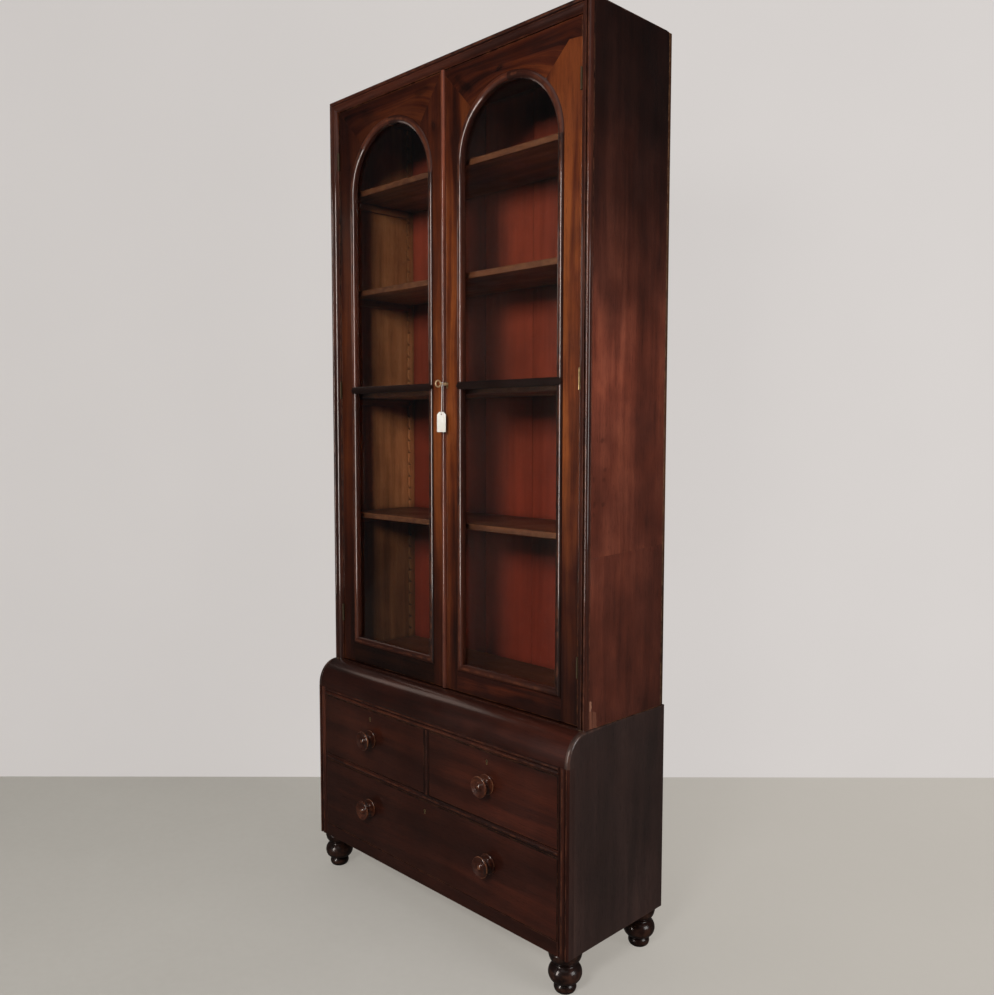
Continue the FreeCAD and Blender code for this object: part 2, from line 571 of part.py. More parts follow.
# front stiles: rounded corner, quirk, and a bead beside the drawers
RC = 5.0
SP = [(0.0, -RAIL_D), (0.0, -RC), ("arc", (RC - RC * math.cos(math.radians(45)), -RC + RC * math.sin(math.radians(45))), (RC, 0.0)),
      ("arc", (7.4, -0.3), (9.4, -1.2)), (10.0, -3.6), (11.6, -3.6), (12.2, -2.4), ("arc", (19.8, -0.05), (27.6, -2.6)),
      (28.2, -3.4), (28.8, -FACE_BACK), (STILE_W, -FACE_BACK), (STILE_W, -RAIL_D)]
st = prism(map_items(SP, lambda s, d: (-xl + s, YF_LOW - d)), xy(Z_CARCASS), (0, 0, Z_FRIEZE0 - Z_CARCASS))
put("chest_stiles", st, mirror(st))

put("chest_top_board", box(-X_IN_LOW, X_IN_LOW, YF_LOW + ELL_A, YB_LOW - T_BACK, Z_JOINT - 18.0, Z_JOINT))
FOOT_X = 459.0
FOOT_Y = (YF_LOW + 40.8, YB_LOW - 40.8)
bb = box(-X_IN_LOW, X_IN_LOW, YB_RAIL, YB_LOW - T_BACK, Z_CARCASS, Z_CARCASS + 18.0)
for fx in (-FOOT_X, FOOT_X):
    for fy in FOOT_Y:
        bb = bb.cut(cyl(12.0, 14.0, (fx, fy, Z_CARCASS), (0, 0, 1)))
put("chest_bottom_board", bb)
zs = (Z_CARCASS, 268.0, 447.0, Z_JOINT)
backs = []
for a, b in zip(zs[:-1], zs[1:]):
    backs.append(box(-X_IN_LOW, X_IN_LOW, YB_LOW - T_BACK, YB_LOW, a + (0.4 if a > Z_CARCASS else 0), b - (0.4 if b < Z_JOINT else 0)))
put("chest_back_boards", *backs)

INSET = 2.0
fr = cushion_solid(ELL_A - INSET, ELL_B - 1.5, -X_IN_LOW - FR_LAP, X_IN_LOW + FR_LAP,
                   [(YF_LOW + ELL_A, Z_FRIEZE0), (YF_LOW + INSET, Z_FRIEZE0)])
put("frieze", fr)

# two reeds under the frieze
BP = [(-RAIL_D, Z_DRW1), (-2.0, Z_DRW1), (-2.0, Z_DRW1 + 0.8), ("arc", (0.0, Z_DRW1 + 6.0), (-2.2, Z_DRW1 + 11.2)),
      (-3.4, Z_DRW1 + 11.9), (-2.2, Z_DRW1 + 12.6), ("arc", (0.0, Z_DRW1 + 17.0), (-2.0, Z_DRW1 + 21.6)),
      (-3.0, Z_FRIEZE0), (-RAIL_D, Z_FRIEZE0)]
fb = prism(map_items(BP, lambda d, z: (YF_LOW - d, z)), yz(-X_DOPEN), (2 * X_DOPEN, 0, 0))
put("frieze_bead", fb)


def bead_rail(half, plane_items):
    return [(-half, -RAIL_D), (-half, -FACE_BACK), (-5.6, -FACE_BACK), (-5.2, -2.8), (-4.8, -1.9),
            ("arc", (0.0, 0.0), (4.8, -1.9)), (5.2, -2.8), (5.6, -FACE_BACK), (half, -FACE_BACK), (half, -RAIL_D)]


mid = (Z_MID0 + Z_MID1) / 2
mr = prism(map_items(bead_rail(9.0, None), lambda t, d: (YF_LOW - d, mid + t)), yz(-X_DOPEN), (2 * X_DOPEN, 0, 0))
put("middle_rail", mr)
dv = prism(map_items(bead_rail(DIV_W / 2, None), lambda t, d: (t, YF_LOW - d)), xy(Z_MID1), (0, 0, Z_DRW1 - Z_MID1))
put("drawer_divider", dv)
put("bottom_rail", box(-X_DOPEN, X_DOPEN, Y_DRW, YB_RAIL, Z_CARCASS, Z_BOT1))

Z_DUST0, Z_DUST1 = 343.0, 351.0
put("dust_board", box(-X_IN_LOW, X_IN_LOW, YB_RAIL, YB_LOW - T_BACK, Z_DUST0, Z_DUST1))
YR1 = YB_LOW - T_BACK - 2.0
run = []
for sx in (-1, 1):
    a, b = sorted((sx * 448.0, sx * X_IN_LOW))
    g0, g1 = sorted((sx * (X_DOPEN + 0.4), sx * X_IN_LOW))
    run.append(box(a, b, YB_RAIL, YR1, Z_CARCASS + 18.0, Z_BOT1))                 # long drawer runner
    run.append(box(g0, g1, YB_RAIL, YR1, Z_BOT1, Z_BOT1 + 30.0))                  # its guide
    run.append(box(a, b, YB_RAIL, YR1, Z_DUST1, Z_MID1))                          # short drawer runner
    run.append(box(g0, g1, YB_RAIL, YR1, Z_MID1, Z_MID1 + 30.0))                  # its guide
    run.append(box(a, b, YB_RAIL, YR1, Z_DRW1, Z_DRW1 + 18.0))                    # kicker above it
    c0, c1 = sorted((sx * 120.0, sx * 160.0))
    run.append(box(c0, c1, YB_RAIL - 0.5, YB_RAIL + 7.0, Z_CARCASS + 18.0, Z_BOT1 + 6.0).cut(
        box(c0 - 1, c1 + 1, YB_RAIL - 1, YB_RAIL, Z_CARCASS, Z_BOT1 + 0.1)))      # drawer stops
    run.append(box(sx * 238.5 - 20, sx * 238.5 + 20, YB_RAIL - 0.5, YB_RAIL + 7.0, Z_DUST1, Z_MID1 + 6.0).cut(
        box(sx * 238.5 - 21, sx * 238.5 + 21, YB_RAIL - 1, YB_RAIL, Z_DUST0, Z_MID1 + 0.1)))
run.append(box(-25.0, 25.0, YB_RAIL, YR1, Z_DUST1, Z_MID1))                       # middle runner
run.append(box(-8.5, 8.5, YB_RAIL, YR1, Z_MID1, Z_MID1 + 30.0))                   # middle guide
run.append(box(-25.0, 25.0, YB_RAIL, YR1, Z_DRW1, Z_DRW1 + 18.0))                 # middle kicker
put("drawer_runners", *run)

# turned feet: collar, neck, bun, neck and toe
FP = [(0.0, Z_CARCASS + 13.0), (11.9, Z_CARCASS + 13.0), (11.9, Z_CARCASS), (39.6, Z_CARCASS),
      ("arc", (40.8, 95.0), (39.6, 89.5)), ("arc", (35.6, 79.5), (29.0, 73.2)), (28.2, 71.4), (28.2, 69.4), (29.6, 68.0),
      ("arc", (40.8, 47.0), (29.6, 26.0)), (24.4, 24.6), (22.6, 23.4), (23.2, 22.2),
      ("arc", (27.3, 12.4), (23.4, 2.2)), (20.6, 0.0), (0.0, 0.0)]
feet = []
for fx in (-FOOT_X, FOOT_X):
    for fy in FOOT_Y:
        f = face_of(FP, lambda r_, z_: V(fx + r_, fy, z_))
        feet.append(f.revolve(V(fx, fy, 0), V(0, 0, 1), 360))
put("feet", *feet)

# ---------------------------------------------------------------- drawers
YB_DRAWER = 170.0
# turned knob: tenon, ring at the base, waist, flared back, rounded rim, dished face and a low central boss
BOSS_R, BOSS_RISE = 9.0, 3.6
_R = (BOSS_R ** 2 + BOSS_RISE ** 2) / (2 * BOSS_RISE)
_a = math.asin(BOSS_R / _R) / 2
KNOB = [(-14.0, 0.0), (-14.0, 6.0), (0.0, 6.0), (0.0, 24.6), ("arc", (2.3, 25.9), (4.2, 24.2)), (4.9, 22.6),
        ("arc", (7.4, 15.2), (12.4, 12.4)), ("arc", (18.2, 14.6), (22.6, 22.6)), ("arc", (25.0, 25.9), (27.4, 26.9)),
        ("arc", (29.9, 26.4), (30.8, 24.4)), ("arc", (29.4, 20.0), (28.2, 15.6)), ("arc", (27.6, 12.2), (28.2, 9.8)), (29.4, BOSS_R),
        ("arc", (KNOB_OUT - _R * (1 - math.cos(_a)), _R * math.sin(_a)), (KNOB_OUT, 0.0))]


def knob(x, z):
    return revolve_y(KNOB, x, Y_DRW, z)


def drawer(name, x0, x1, z0, z1, knobs, kh):
    T = 20.0
    front = box(x0 + DGAP, x1 - DGAP, Y_DRW, Y_DRW + T, z0 + DGAP, z1 - DGAP)
    for (kx, kz) in knobs:
        front = front.cut(cyl(6.0, 14.0, (kx, Y_DRW, kz), (0, 1, 0)))
    hx, hz = kh
    front = front.cut(keyhole(hx, hz, Y_DRW - 1, Y_DRW + T + 1, 2.4, 2.0, 7.4))
    front = front.cut(keyhole(hx, hz, Y_DRW - 1, Y_DRW + 3, 3.6, 4.2, 8.6))
    put("drawer_%s_front" % name, front)
    bx0, bx1 = x0 + 2.5, x1 - 2.5
    zb = z0 + 0.3
    zt = z1 - 10.0
    y0 = Y_DRW + T
    s1 = box(bx0, bx0 + 11.0, y0, YB_DRAWER, zb, zt)
    s2 = box(bx1 - 11.0, bx1, y0, YB_DRAWER, zb, zt)
    bk = box(bx0 + 11.0, bx1 - 11.0, YB_DRAWER - 11.0, YB_DRAWER, zb + 14.7, zt - 8.0)
    bt = box(bx0 + 11.0, bx1 - 11.0, y0, YB_DRAWER, zb + 8.2, zb + 14.7)
    put("drawer_%s_box" % name, s1, s2, bk, bt)
    put("drawer_%s_knob%s" % (name, "s" if len(knobs) > 1 else ""), *[knob(*k) for k in knobs])
    lz1 = z1 - DGAP
    lock = box(hx - 26.0, hx + 26.0, y0, y0 + 9.0, hz - 18.0, lz1 - 2.0)
    lock = lock.cut(keyhole(hx, hz, y0 - 1, y0 + 6, 2.4, 2.0, 7.4))
    lin = keyhole(hx, hz, Y_DRW - 0.3, Y_DRW + 3, 3.6, 4.2, 8.6).cut(
        keyhole(hx, hz, Y_DRW - 1, Y_DRW + 4, 2.4, 2.0, 7.4))
    put("drawer_%s_lock" % name, lock, lin)


drawer("left", -X_DOPEN, -DIV_W / 2, Z_MID1, Z_DRW1, [(-KNOB_X_SHORT + KNOB_DX, KNOB_Z_SHORT)], (-KNOB_X_SHORT + KNOB_DX, KEYHOLE_Z_SHORT))
drawer("right", DIV_W / 2, X_DOPEN, Z_MID1, Z_DRW1, [(KNOB_X_SHORT + KNOB_DX, KNOB_Z_SHORT)], (KNOB_X_SHORT + KNOB_DX, KEYHOLE_Z_SHORT))
drawer("long", -X_DOPEN, X_DOPEN, Z_BOT1, Z_MID0, [(-KNOB_X_LONG + KNOB_DX, KNOB_Z_LONG), (KNOB_X_LONG + KNOB_DX, KNOB_Z_LONG)],
       (KNOB_DX, KEYHOLE_Z_LONG))

# ---------------------------------------------------------------- write
bb = None
for name, shape in nodes.items():
    assert len(name) < 60
    for s in (shape.Solids if shape.ShapeType == "Compound" else [shape]):
        if not s.isValid() or s.Volume <= 0:
            print("check", name, "valid", s.isValid(), "volume", s.Volume)
    shape.exportStep("parts/%s.step" % name)
    b = shape.BoundBox
    bb = b if bb is None else bb.united(b) if hasattr(bb, "united") else bb
    if bb is not b:
        bb.add(b)
print(len(nodes), "nodes; box x %.2f..%.2f y %.2f..%.2f z %.2f..%.2f" % (bb.XMin, bb.XMax, bb.YMin, bb.YMax, bb.ZMin, bb.ZMax))
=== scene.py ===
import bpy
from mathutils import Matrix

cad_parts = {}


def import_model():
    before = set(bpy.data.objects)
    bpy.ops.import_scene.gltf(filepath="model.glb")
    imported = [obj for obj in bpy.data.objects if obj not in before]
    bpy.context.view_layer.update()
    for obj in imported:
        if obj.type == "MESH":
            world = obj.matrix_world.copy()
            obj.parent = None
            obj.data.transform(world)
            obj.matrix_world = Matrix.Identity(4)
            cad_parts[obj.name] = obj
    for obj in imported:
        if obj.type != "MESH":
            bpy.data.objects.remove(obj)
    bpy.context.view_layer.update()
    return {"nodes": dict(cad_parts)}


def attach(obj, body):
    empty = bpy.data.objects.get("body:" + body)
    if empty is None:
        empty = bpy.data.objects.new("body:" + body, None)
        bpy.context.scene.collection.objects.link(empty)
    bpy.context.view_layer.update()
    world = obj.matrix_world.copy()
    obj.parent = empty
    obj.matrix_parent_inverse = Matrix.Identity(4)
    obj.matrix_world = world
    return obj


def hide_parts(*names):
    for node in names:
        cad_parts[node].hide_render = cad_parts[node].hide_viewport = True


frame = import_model()

import math

import bpy
import numpy as np
from mathutils import Matrix, Vector

S = 0.001
SHARP = math.radians(52)

# ------------------------------------------------------------------ sizes
H_TOTAL, Z_CARCASS, Z_JOINT = 2286.0, 100.5, 631.5
XU, XL = 498.0, 500.0
YB_LOW, YF_LOW, Y_DRW = 204.0, -167.5, -165.5
YB_UP, YF_UP, Y_DOOR = 199.0, -107.5, -95.5
T_DOOR, FRAME_W, T_SIDE, T_BACK = 22.0, 32.0, 22.0, 12.0
YB_DOOR = Y_DOOR + T_DOOR
X_OPEN, Z_OPEN = XU - FRAME_W, H_TOTAL - FRAME_W
Y_FACEB = Y_DOOR + 25.0
X_IN_UP, X_IN_LOW = XU - T_SIDE, XL - T_SIDE
Z_FLOOR_UP, T_TOP = 658.0, 22.0
X_EDGE = X_OPEN - 1.3
Z_D0, Z_D1 = Z_JOINT + 2.1, Z_OPEN - 1.5
MEET = {-1: -11.75, 1: -10.25}
PANE_CX, PANE_R, Z_SPRING, Z_PANE0 = 230.0, 182.5, 2007.0, 690.0
Z_BAR, BAR_H = 1443.0, 10.0
GLASS_D, GLASS_T, MOULD_D = 11.0, 3.0, 20.0
HINGE_Z, HINGE_H = (775.0, 1446.5, 2112.5), 50.0
HX, HY = 465.5, -98.6
SHELF_TOPS, SHELF_T, Y_SHELF0 = (1080.5, 1439.0, 1738.5, 2026.0), 16.0, -57.0
KEY_X, KEY_Z = 8.5, 1449.0
Z_FRIEZE0, Z_DRW1, Z_MID1, Z_MID0, Z_BOT1 = 556.0, 533.5, 356.0, 338.0, 136.5
STILE_W, RAIL_D, DIV_W = 32.0, 23.0, 18.0
X_DOPEN = XL - STILE_W
YB_RAIL = YF_LOW + RAIL_D
ELL_A, ELL_B = 60.0, Z_JOINT - 561.0
DGAP = 1.3
KNOB_OUT = 33.0


# ------------------------------------------------------------------ mesh helpers
def rnd(k, j=0):
    """The same fraction each run for a seed."""
    v = math.sin(k * 12.9898 + j * 78.233 + 4.1) * 43758.5453
    return v - math.floor(v)


def shift(seed):
    return np.array([rnd(seed, 1) * 5.0, rnd(seed, 2) * 5.0, rnd(seed, 3) * 9.0])


def grain_along(v, g):
    """Wood coordinates in mm, with the third one along the grain."""
    v = np.asarray(v, float)
    if callable(g):
        return g(v)
    if g == "z":
        return v.copy()
    if g == "x":
        return v[:, [2, 1, 0]].copy()
    if g == "y":
        return v[:, [0, 2, 1]].copy()
    a = math.radians(g)                      # an angle in the front plane, from +X
    c, s = math.cos(a), math.sin(a)
    return np.stack([-s * v[:, 0] + c * v[:, 2], v[:, 1], c * v[:, 0] + s * v[:, 2]], 1)


class Piece:
    def __init__(self, name):
        self.name, self.n = name, 0
        self.v, self.f, self.gc, self.tn, self.ew, self.mi = [], [], [], [], [], []

    def add(self, v, f, ew=None, grain="z", seed=0, tint=(1.0, 0.0, 1.0), mat=0, gc=None):
        v = np.asarray(v, float)
        g = (grain_along(v, grain) if gc is None else np.asarray(gc, float)) * S + shift(seed)
        self.v.append(v * S)
        self.gc.append(g)
        self.tn.append(np.tile(np.array(tint, float), (len(v), 1)))
        self.ew.append(np.zeros(len(v)) if ew is None else np.asarray(ew, float))
        self.f += [tuple(int(i) + self.n for i in q) for q in f]
        self.mi += [mat] * len(f)
        self.n += len(v)
        return self

    def make(self, body, slot, mats, nodes=(), weighted=True):
        me = bpy.data.meshes.new(self.name)
        v = np.concatenate(self.v)
        me.from_pydata(v.tolist(), [], self.f)
        for name, kind, data in (("gc", "FLOAT_VECTOR", np.concatenate(self.gc)),
                                 ("tn", "FLOAT_VECTOR", np.concatenate(self.tn))):
            a = me.attributes.new(name, kind, "POINT")
            a.data.foreach_set("vector", data.astype(np.float32).ravel())
        a = me.attributes.new("ew", "FLOAT", "POINT")
        a.data.foreach_set("value", np.concatenate(self.ew).astype(np.float32))
        me.polygons.foreach_set("material_index", self.mi)
        me.polygons.foreach_set("use_smooth", [True] * len(self.f))
        me.update()
        me.set_sharp_from_angle(angle=SHARP)
        for m in mats if isinstance(mats, (list, tuple)) else [mats]:
            me.materials.append(m)
        ob = bpy.data.objects.new(self.name, me)
        bpy.context.scene.collection.objects.link(ob)
        if weighted:
            w = ob.modifiers.new("normals", "WEIGHTED_NORMAL")
            w.keep_sharp, w.weight, w.mode = True, 50, "FACE_AREA"
        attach(ob, body)
        if nodes:
            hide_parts(*nodes)
        return ob


def rbox(x0, x1, y0, y1, z0, z1, w=1.0, e=2.5):
    """Board with rounded arrises. Returns vertices, faces and how worn each vertex is."""
    lo, hi = np.array([x0, y0, z0], float), np.array([x1, y1, z1], float)
    w = min(w, 0.45 * float((hi - lo).min()))
    ax, tv = [], []
    for a, b in zip(lo, hi):
        p, t = [a, a + 0.35 * w, a + w], [1.0, 1.0, 0.55]
        if b - a - 2 * w > 2.4 * e:
            p += [a + w + e, b - w - e]
            t += [0.0, 0.0]
        p += [b - w, b - 0.35 * w, b]
        t += [0.55, 1.0, 1.0]
        ax.append(p)
        tv.append(t)
    n = [len(p) for p in ax]
    ids, v, ew = {}, [], []

    def vid(i):
        if i not in ids:
            p = np.array([ax[k][i[k]] for k in range(3)])
            q = np.clip(p, lo + w, hi - w)
            d = p - q
            ln = np.linalg.norm(d)
            ids[i] = len(v)
            v.append(q + d * (w / ln) if ln > 1e-9 else p)
            ew.append(sorted(tv[k][i[k]] for k in range(3))[1])
        return ids[i]

    f = []
    for k in range(3):
        a, b = (k + 1) % 3, (k + 2) % 3
        for side in (0, n[k] - 1):
            for i in range(n[a] - 1):
                for j in range(n[b] - 1):
                    q = []
                    for di, dj in ((0, 0), (1, 0), (1, 1), (0, 1)):
                        c = [0, 0, 0]
                        c[k], c[a], c[b] = side, i + di, j + dj
                        q.append(vid(tuple(c)))
                    f.append(q if side else q[::-1])
    return np.array(v), f, np.array(ew)


def offset_poly(p, d):
    """Closed polygon (anticlockwise) moved inwards by d[i] on the edge from point i to i + 1."""
    p, d = np.asarray(p, float), np.asarray(d, float)
    n = len(p)
    out = np.zeros_like(p)
    for i in range(n):
        a, b, c = p[i - 1], p[i], p[(i + 1) % n]
        u, w = b - a, c - b
        u, w = u / np.linalg.norm(u), w / np.linalg.norm(w)
        nu, nw = np.array([-u[1], u[0]]), np.array([-w[1], w[0]])
        du, dw = d[i - 1], d[i]
        det = nu[0] * nw[1] - nu[1] * nw[0]
        if abs(det) < 0.02:
            out[i] = b + (nu + nw) / 2 * (du + dw) / 2
        else:
            out[i] = b + np.array([(du * nw[1] - dw * nu[1]) / det, (nu[0] * dw - nw[0] * du) / det])
    return out


def slab(poly, c0, c1, w, fn, e=2.5, w_far=None, seg=2):
    """Flat board from a polygon, between depths c0 and c1. w is the rounding of each edge at c0, w_far at c1.
    fn(a, b, c) gives x, y, z. Edges with a rounding under 0.3 are joints and show no wear."""
    p = np.asarray(poly, float)
    area = sum(p[i - 1][0] * p[i][1] - p[i][0] * p[i - 1][1] for i in range(len(p)))
    w = np.full(len(p), float(w)) if np.isscalar(w) else np.asarray(w, float)
    wf = w if w_far is None else (np.full(len(p), float(w_far)) if np.isscalar(w_far) else np.asarray(w_far, float))
    if area < 0:
        p = p[::-1]
        w, wf = np.roll(w[::-1], -1), np.roll(wf[::-1], -1)
    n = len(p)
    rows, wear = [], []
    for face, ww in ((0, w), (1, wf)):
        sg = 1 if c1 > c0 else -1
        base, sgn = (c0, sg) if face == 0 else (c1, -sg)
        wv = np.maximum(ww, np.roll(ww, 1))
        real = (ww >= 0.3).astype(float)
        rv = np.maximum(real, np.roll(real, 1))
        rings = [(offset_poly(p, ww + np.where(real > 0, e, 0.4)), np.full(n, base), rv * 0.0)]
        for k in range(seg + 1):
            t = math.pi / 2 * k / seg
            rings.append((offset_poly(p, ww * (1 - math.sin(t))), base + sgn * wv * (1 - math.cos(t)),
                          rv * (0.55 if k == 0 else 1.0)))
        rows.append(rings if face == 0 else rings[::-1])
    rings = rows[0] + rows[1]
    v = np.array([fn(r[i][0], r[i][1], c[i]) for r, c, _ in rings for i in range(n)])
    ew = np.concatenate([x for _, _, x in rings])
    f = []
    for k in range(len(rings) - 1):
        for i in range(n):
            j = (i + 1) % n
            f.append((k * n + i, k * n + j, (k + 1) * n + j, (k + 1) * n + i))
    m = (len(rings) - 1) * n
    f.append(tuple(range(n))[::-1])
    f.append(tuple(m + i for i in range(n)))
    # turn the faces outwards
    q = v[list(f[0])]
    nrm = np.cross(q[1] - q[0], q[3] - q[0])
    mid = v.mean(0)
    if vol(v, f) < 0:
        f = [t[::-1] for t in f]
    return v, f, ew


def vol(v, f):
    t = 0.0
    for q in f:
        a = v[q[0]]
        for i in range(1, len(q) - 1):
            t += float(np.dot(a, np.cross(v[q[i]], v[q[i + 1]])))
    return t


def XZ(a, b, c):
    return (a, c, b)


def YZ(a, b, c):
    return (c, a, b)


def run(profile, p0, p1, m0, m1, y0, n=2, arc=None, wear=None, caps=True, L0=0.0):
    """Length of moulding in the front plane. profile holds (s, d): s across from the outer edge, d out of y0.
    Straight from p0 to p1, mitre vectors m0 and m1 per unit s; or arc=(centre x, centre z, radius, a0, a1) in degrees."""
    s = np.array([q[0] for q in profile])
    d = np.array([q[1] for q in profile])
    V_, G_ = [], []
    if arc is None:
        p0, p1, m0, m1 = (np.array(t, float) for t in (p0, p1, m0, m1))
        u = (p1 - p0) / np.linalg.norm(p1 - p0)
        for k in range(n):
            t = k / (n - 1)
            a = p0 + np.outer(s, m0)
            b = p1 + np.outer(s, m1)
            q = a + (b - a) * t
            V_.append(np.stack([q[:, 0], y0 - d, q[:, 1]], 1))
            G_.append(np.stack([s, d, q @ u + L0], 1))
    else:
        cx, cz, R, a0, a1 = arc
        for k in range(n):
            t = math.radians(a0 + (a1 - a0) * k / (n - 1))
            r = R - s
            V_.append(np.stack([cx + r * math.cos(t), y0 - d, cz + r * math.sin(t)], 1))
            G_.append(np.stack([s, d, np.full(len(s), t * R + L0)], 1))
    m = len(s)
    f = []
    for k in range(n - 1):
        for i in range(m):
            j = (i + 1) % m
            f.append((k * m + i, k * m + j, (k + 1) * m + j, (k + 1) * m + i))
    if caps:
        f.append(tuple(range(m))[::-1])
        f.append(tuple((n - 1) * m + i for i in range(m)))
    v = np.concatenate(V_)
    if vol(v, f) < 0:
        f = [t[::-1] for t in f]
    w = np.zeros(m) if wear is None else np.array([wear(a, b) for a, b in profile])
    return v, f, np.tile(w, n), np.concatenate(G_)


def extrude(profile, fn, a0, a1, n=2, wear=None, caps=True):
    """Closed profile (u, v) carried along a third axis; fn(u, v, a) gives x, y, z."""
    m = len(profile)
    v = np.array([fn(q[0], q[1], a0 + (a1 - a0) * k / (n - 1)) for k in range(n) for q in profile])
    f = [(k * m + i, k * m + (i + 1) % m, (k + 1) * m + (i + 1) % m, (k + 1) * m + i) for k in range(n - 1) for i in range(m)]
    if caps:
        f.append(tuple(range(m))[::-1])
        f.append(tuple((n - 1) * m + i for i in range(m)))
    if vol(v, f) < 0:
        f = [t[::-1] for t in f]
    w = np.zeros(m) if wear is None else np.array([wear(*q) for q in profile])
    return v, f, np.tile(w, n)


def lathe(profile, fn, seg=80, wear=None):
    """Turned piece; profile holds (radius, height) from one end of the axis to the other."""
    v, ew, idx = [], [], []
    for r, h in profile:
        w = wear(r, h) if wear else 0.0
        if r < 1e-6:
            idx.append([len(v)])
            v.append(fn(0.0, 0.0, h))
            ew.append(w)
        else:
            idx.append(list(range(len(v), len(v) + seg)))
            for k in range(seg):
                t = 2 * math.pi * k / seg
                v.append(fn(r * math.cos(t), r * math.sin(t), h))
                ew.append(w)
    f = []
    for a, b in zip(idx[:-1], idx[1:]):
        for k in range(seg):
            j = (k + 1) % seg
            if len(a) == 1 and len(b) > 1:
                f.append((a[0], b[k], b[j]))
            elif len(b) == 1 and len(a) > 1:
                f.append((a[k], b[0], a[j]))
            elif len(a) > 1:
                f.append((a[k], b[k], b[j], a[j]))
    if len(idx[0]) > 1:
        f.append(tuple(idx[0]))
    if len(idx[-1]) > 1:
        f.append(tuple(idx[-1][::-1]))
    v = np.array(v)
    if vol(v, f) < 0:
        f = [t[::-1] for t in f]
    return v, f, np.array(ew)


def arc3(a, m, b, n):
    """Points after a, up to b, on the circle through a, m and b."""
    ax, ay, bx, by, cx, cy = *a, *m, *b
    d = 2 * (ax * (by - cy) + bx * (cy - ay) + cx * (ay - by))
    ux = ((ax * ax + ay * ay) * (by - cy) + (bx * bx + by * by) * (cy - ay) + (cx * cx + cy * cy) * (ay - by)) / d
    uy = ((ax * ax + ay * ay) * (cx - bx) + (bx * bx + by * by) * (ax - cx) + (cx * cx + cy * cy) * (bx - ax)) / d
    r = math.hypot(ax - ux, ay - uy)
    t0, tm, t1 = (math.atan2(p[1] - uy, p[0] - ux) for p in (a, m, b))
    def un(t, ref, sgn):
        while (t - ref) * sgn < 0:
            t += sgn * 2 * math.pi
        return t
    for sgn in (1, -1):
        m2, e2 = un(tm, t0, sgn), un(t1, t0, sgn)
        if (e2 - m2) * sgn >= 0:
            break
    return [(ux + r * math.cos(t0 + (e2 - t0) * k / n), uy + r * math.sin(t0 + (e2 - t0) * k / n)) for k in range(1, n + 1)]


def profile(items, n=6):
    """Points from corners and ("arc", middle, end) items."""
    out = [items[0]]
    for it in items[1:]:
        if isinstance(it[0], str):
            out += arc3(out[-1], it[1], it[2], n)
        else:
            out.append(it)
    return [(float(a), float(b)) for a, b in out]


# ------------------------------------------------------------------ materials
class Graph:
    def __init__(self, name):
        self.m = bpy.data.materials.new(name)
        self.m.use_nodes = True
        self.t = self.m.node_tree
        self.t.nodes.clear()
        self.out = self.t.nodes.new("ShaderNodeOutputMaterial")

    def put(self, sock, v):
        if isinstance(v, bpy.types.NodeSocket):
            self.t.links.new(v, sock)
        elif isinstance(v, (tuple, list)) and len(v) == 3 and sock.type == "RGBA":
            sock.default_value = (*v, 1.0)
        else:
            sock.default_value = v

    def node(self, kind, ins=None, **props):
        n = self.t.nodes.new("ShaderNode" + kind)
        for k, v in props.items():
            setattr(n, k, v)
        for k, v in (ins or {}).items():
            self.put(n.inputs[k], v)
        return n

    def math(self, op, a, b=None, c=None, clamp=False):
        n = self.node("Math", operation=op, use_clamp=clamp)
        for i, v in enumerate((a, b, c)):
            if v is not None:
                self.put(n.inputs[i], v)
        return n.outputs[0]

    def vmath(self, op, a, b=None):
        n = self.node("VectorMath", operation=op)
        self.put(n.inputs[0], a)
        if b is not None:
            self.put(n.inputs[3] if op == "SCALE" else n.inputs[1], b)
        return n.outputs[1] if op in ("DISTANCE", "LENGTH", "DOT_PRODUCT") else n.outputs[0]

    def mix(self, fac, a, b, mode="MIX"):
        n = self.node("Mix", data_type="RGBA", blend_type=mode)
        self.put(n.inputs[0], fac)
        self.put(n.inputs[6], a)
        self.put(n.inputs[7], b)
        return n.outputs[2]

    def noise(self, vec, scale=1.0, detail=2.0, rough=0.5, distort=0.0):
        n = self.node("TexNoise", {"Vector": vec, "Scale": scale, "Detail": detail, "Roughness": rough, "Distortion": distort})
        return n.outputs[0], n.outputs[1]

    def ramp(self, fac, stops, interp="LINEAR"):
        n = self.node("ValToRGB", {0: fac})
        n.color_ramp.interpolation = interp
        e = n.color_ramp.elements
        while len(e) < len(stops):
            e.new(0.5)
        for k, (pos, col) in enumerate(stops):
            e[k].position = pos
            e[k].color = (*col, 1.0) if len(col) == 3 else col
        return n.outputs[0]

    def span(self, x, a, b, c=0.0, d=1.0, smooth=True):
        n = self.node("MapRange", interpolation_type="SMOOTHSTEP" if smooth else "LINEAR")
        for i, v in enumerate((x, a, b, c, d)):
            self.put(n.inputs[i], v)
        return n.outputs[0]

    def bump(self, height, strength, dist, normal=None):
        n = self.node("Bump", {"Height": height, "Strength": strength, "Distance": dist})
        if normal is not None:
            self.put(n.inputs["Normal"], normal)
        return n.outputs[0]

    def shader(self, **ins):
        n = self.node("BsdfPrincipled")
        for k, v in ins.items():
            self.put(n.inputs[k.replace("_", " ")], v)
        self.t.links.new(n.outputs[0], self.out.inputs[0])
        return n


def dull(g, dist, amount):
    """How open a point is to its surroundings: 1 in the open, less in a corner."""
    ao = g.node("AmbientOcclusion", {"Distance": dist}, samples=4)
    return g.span(ao.outputs["AO"], 0.15, 0.85, 1.0 - amount, 1.0)


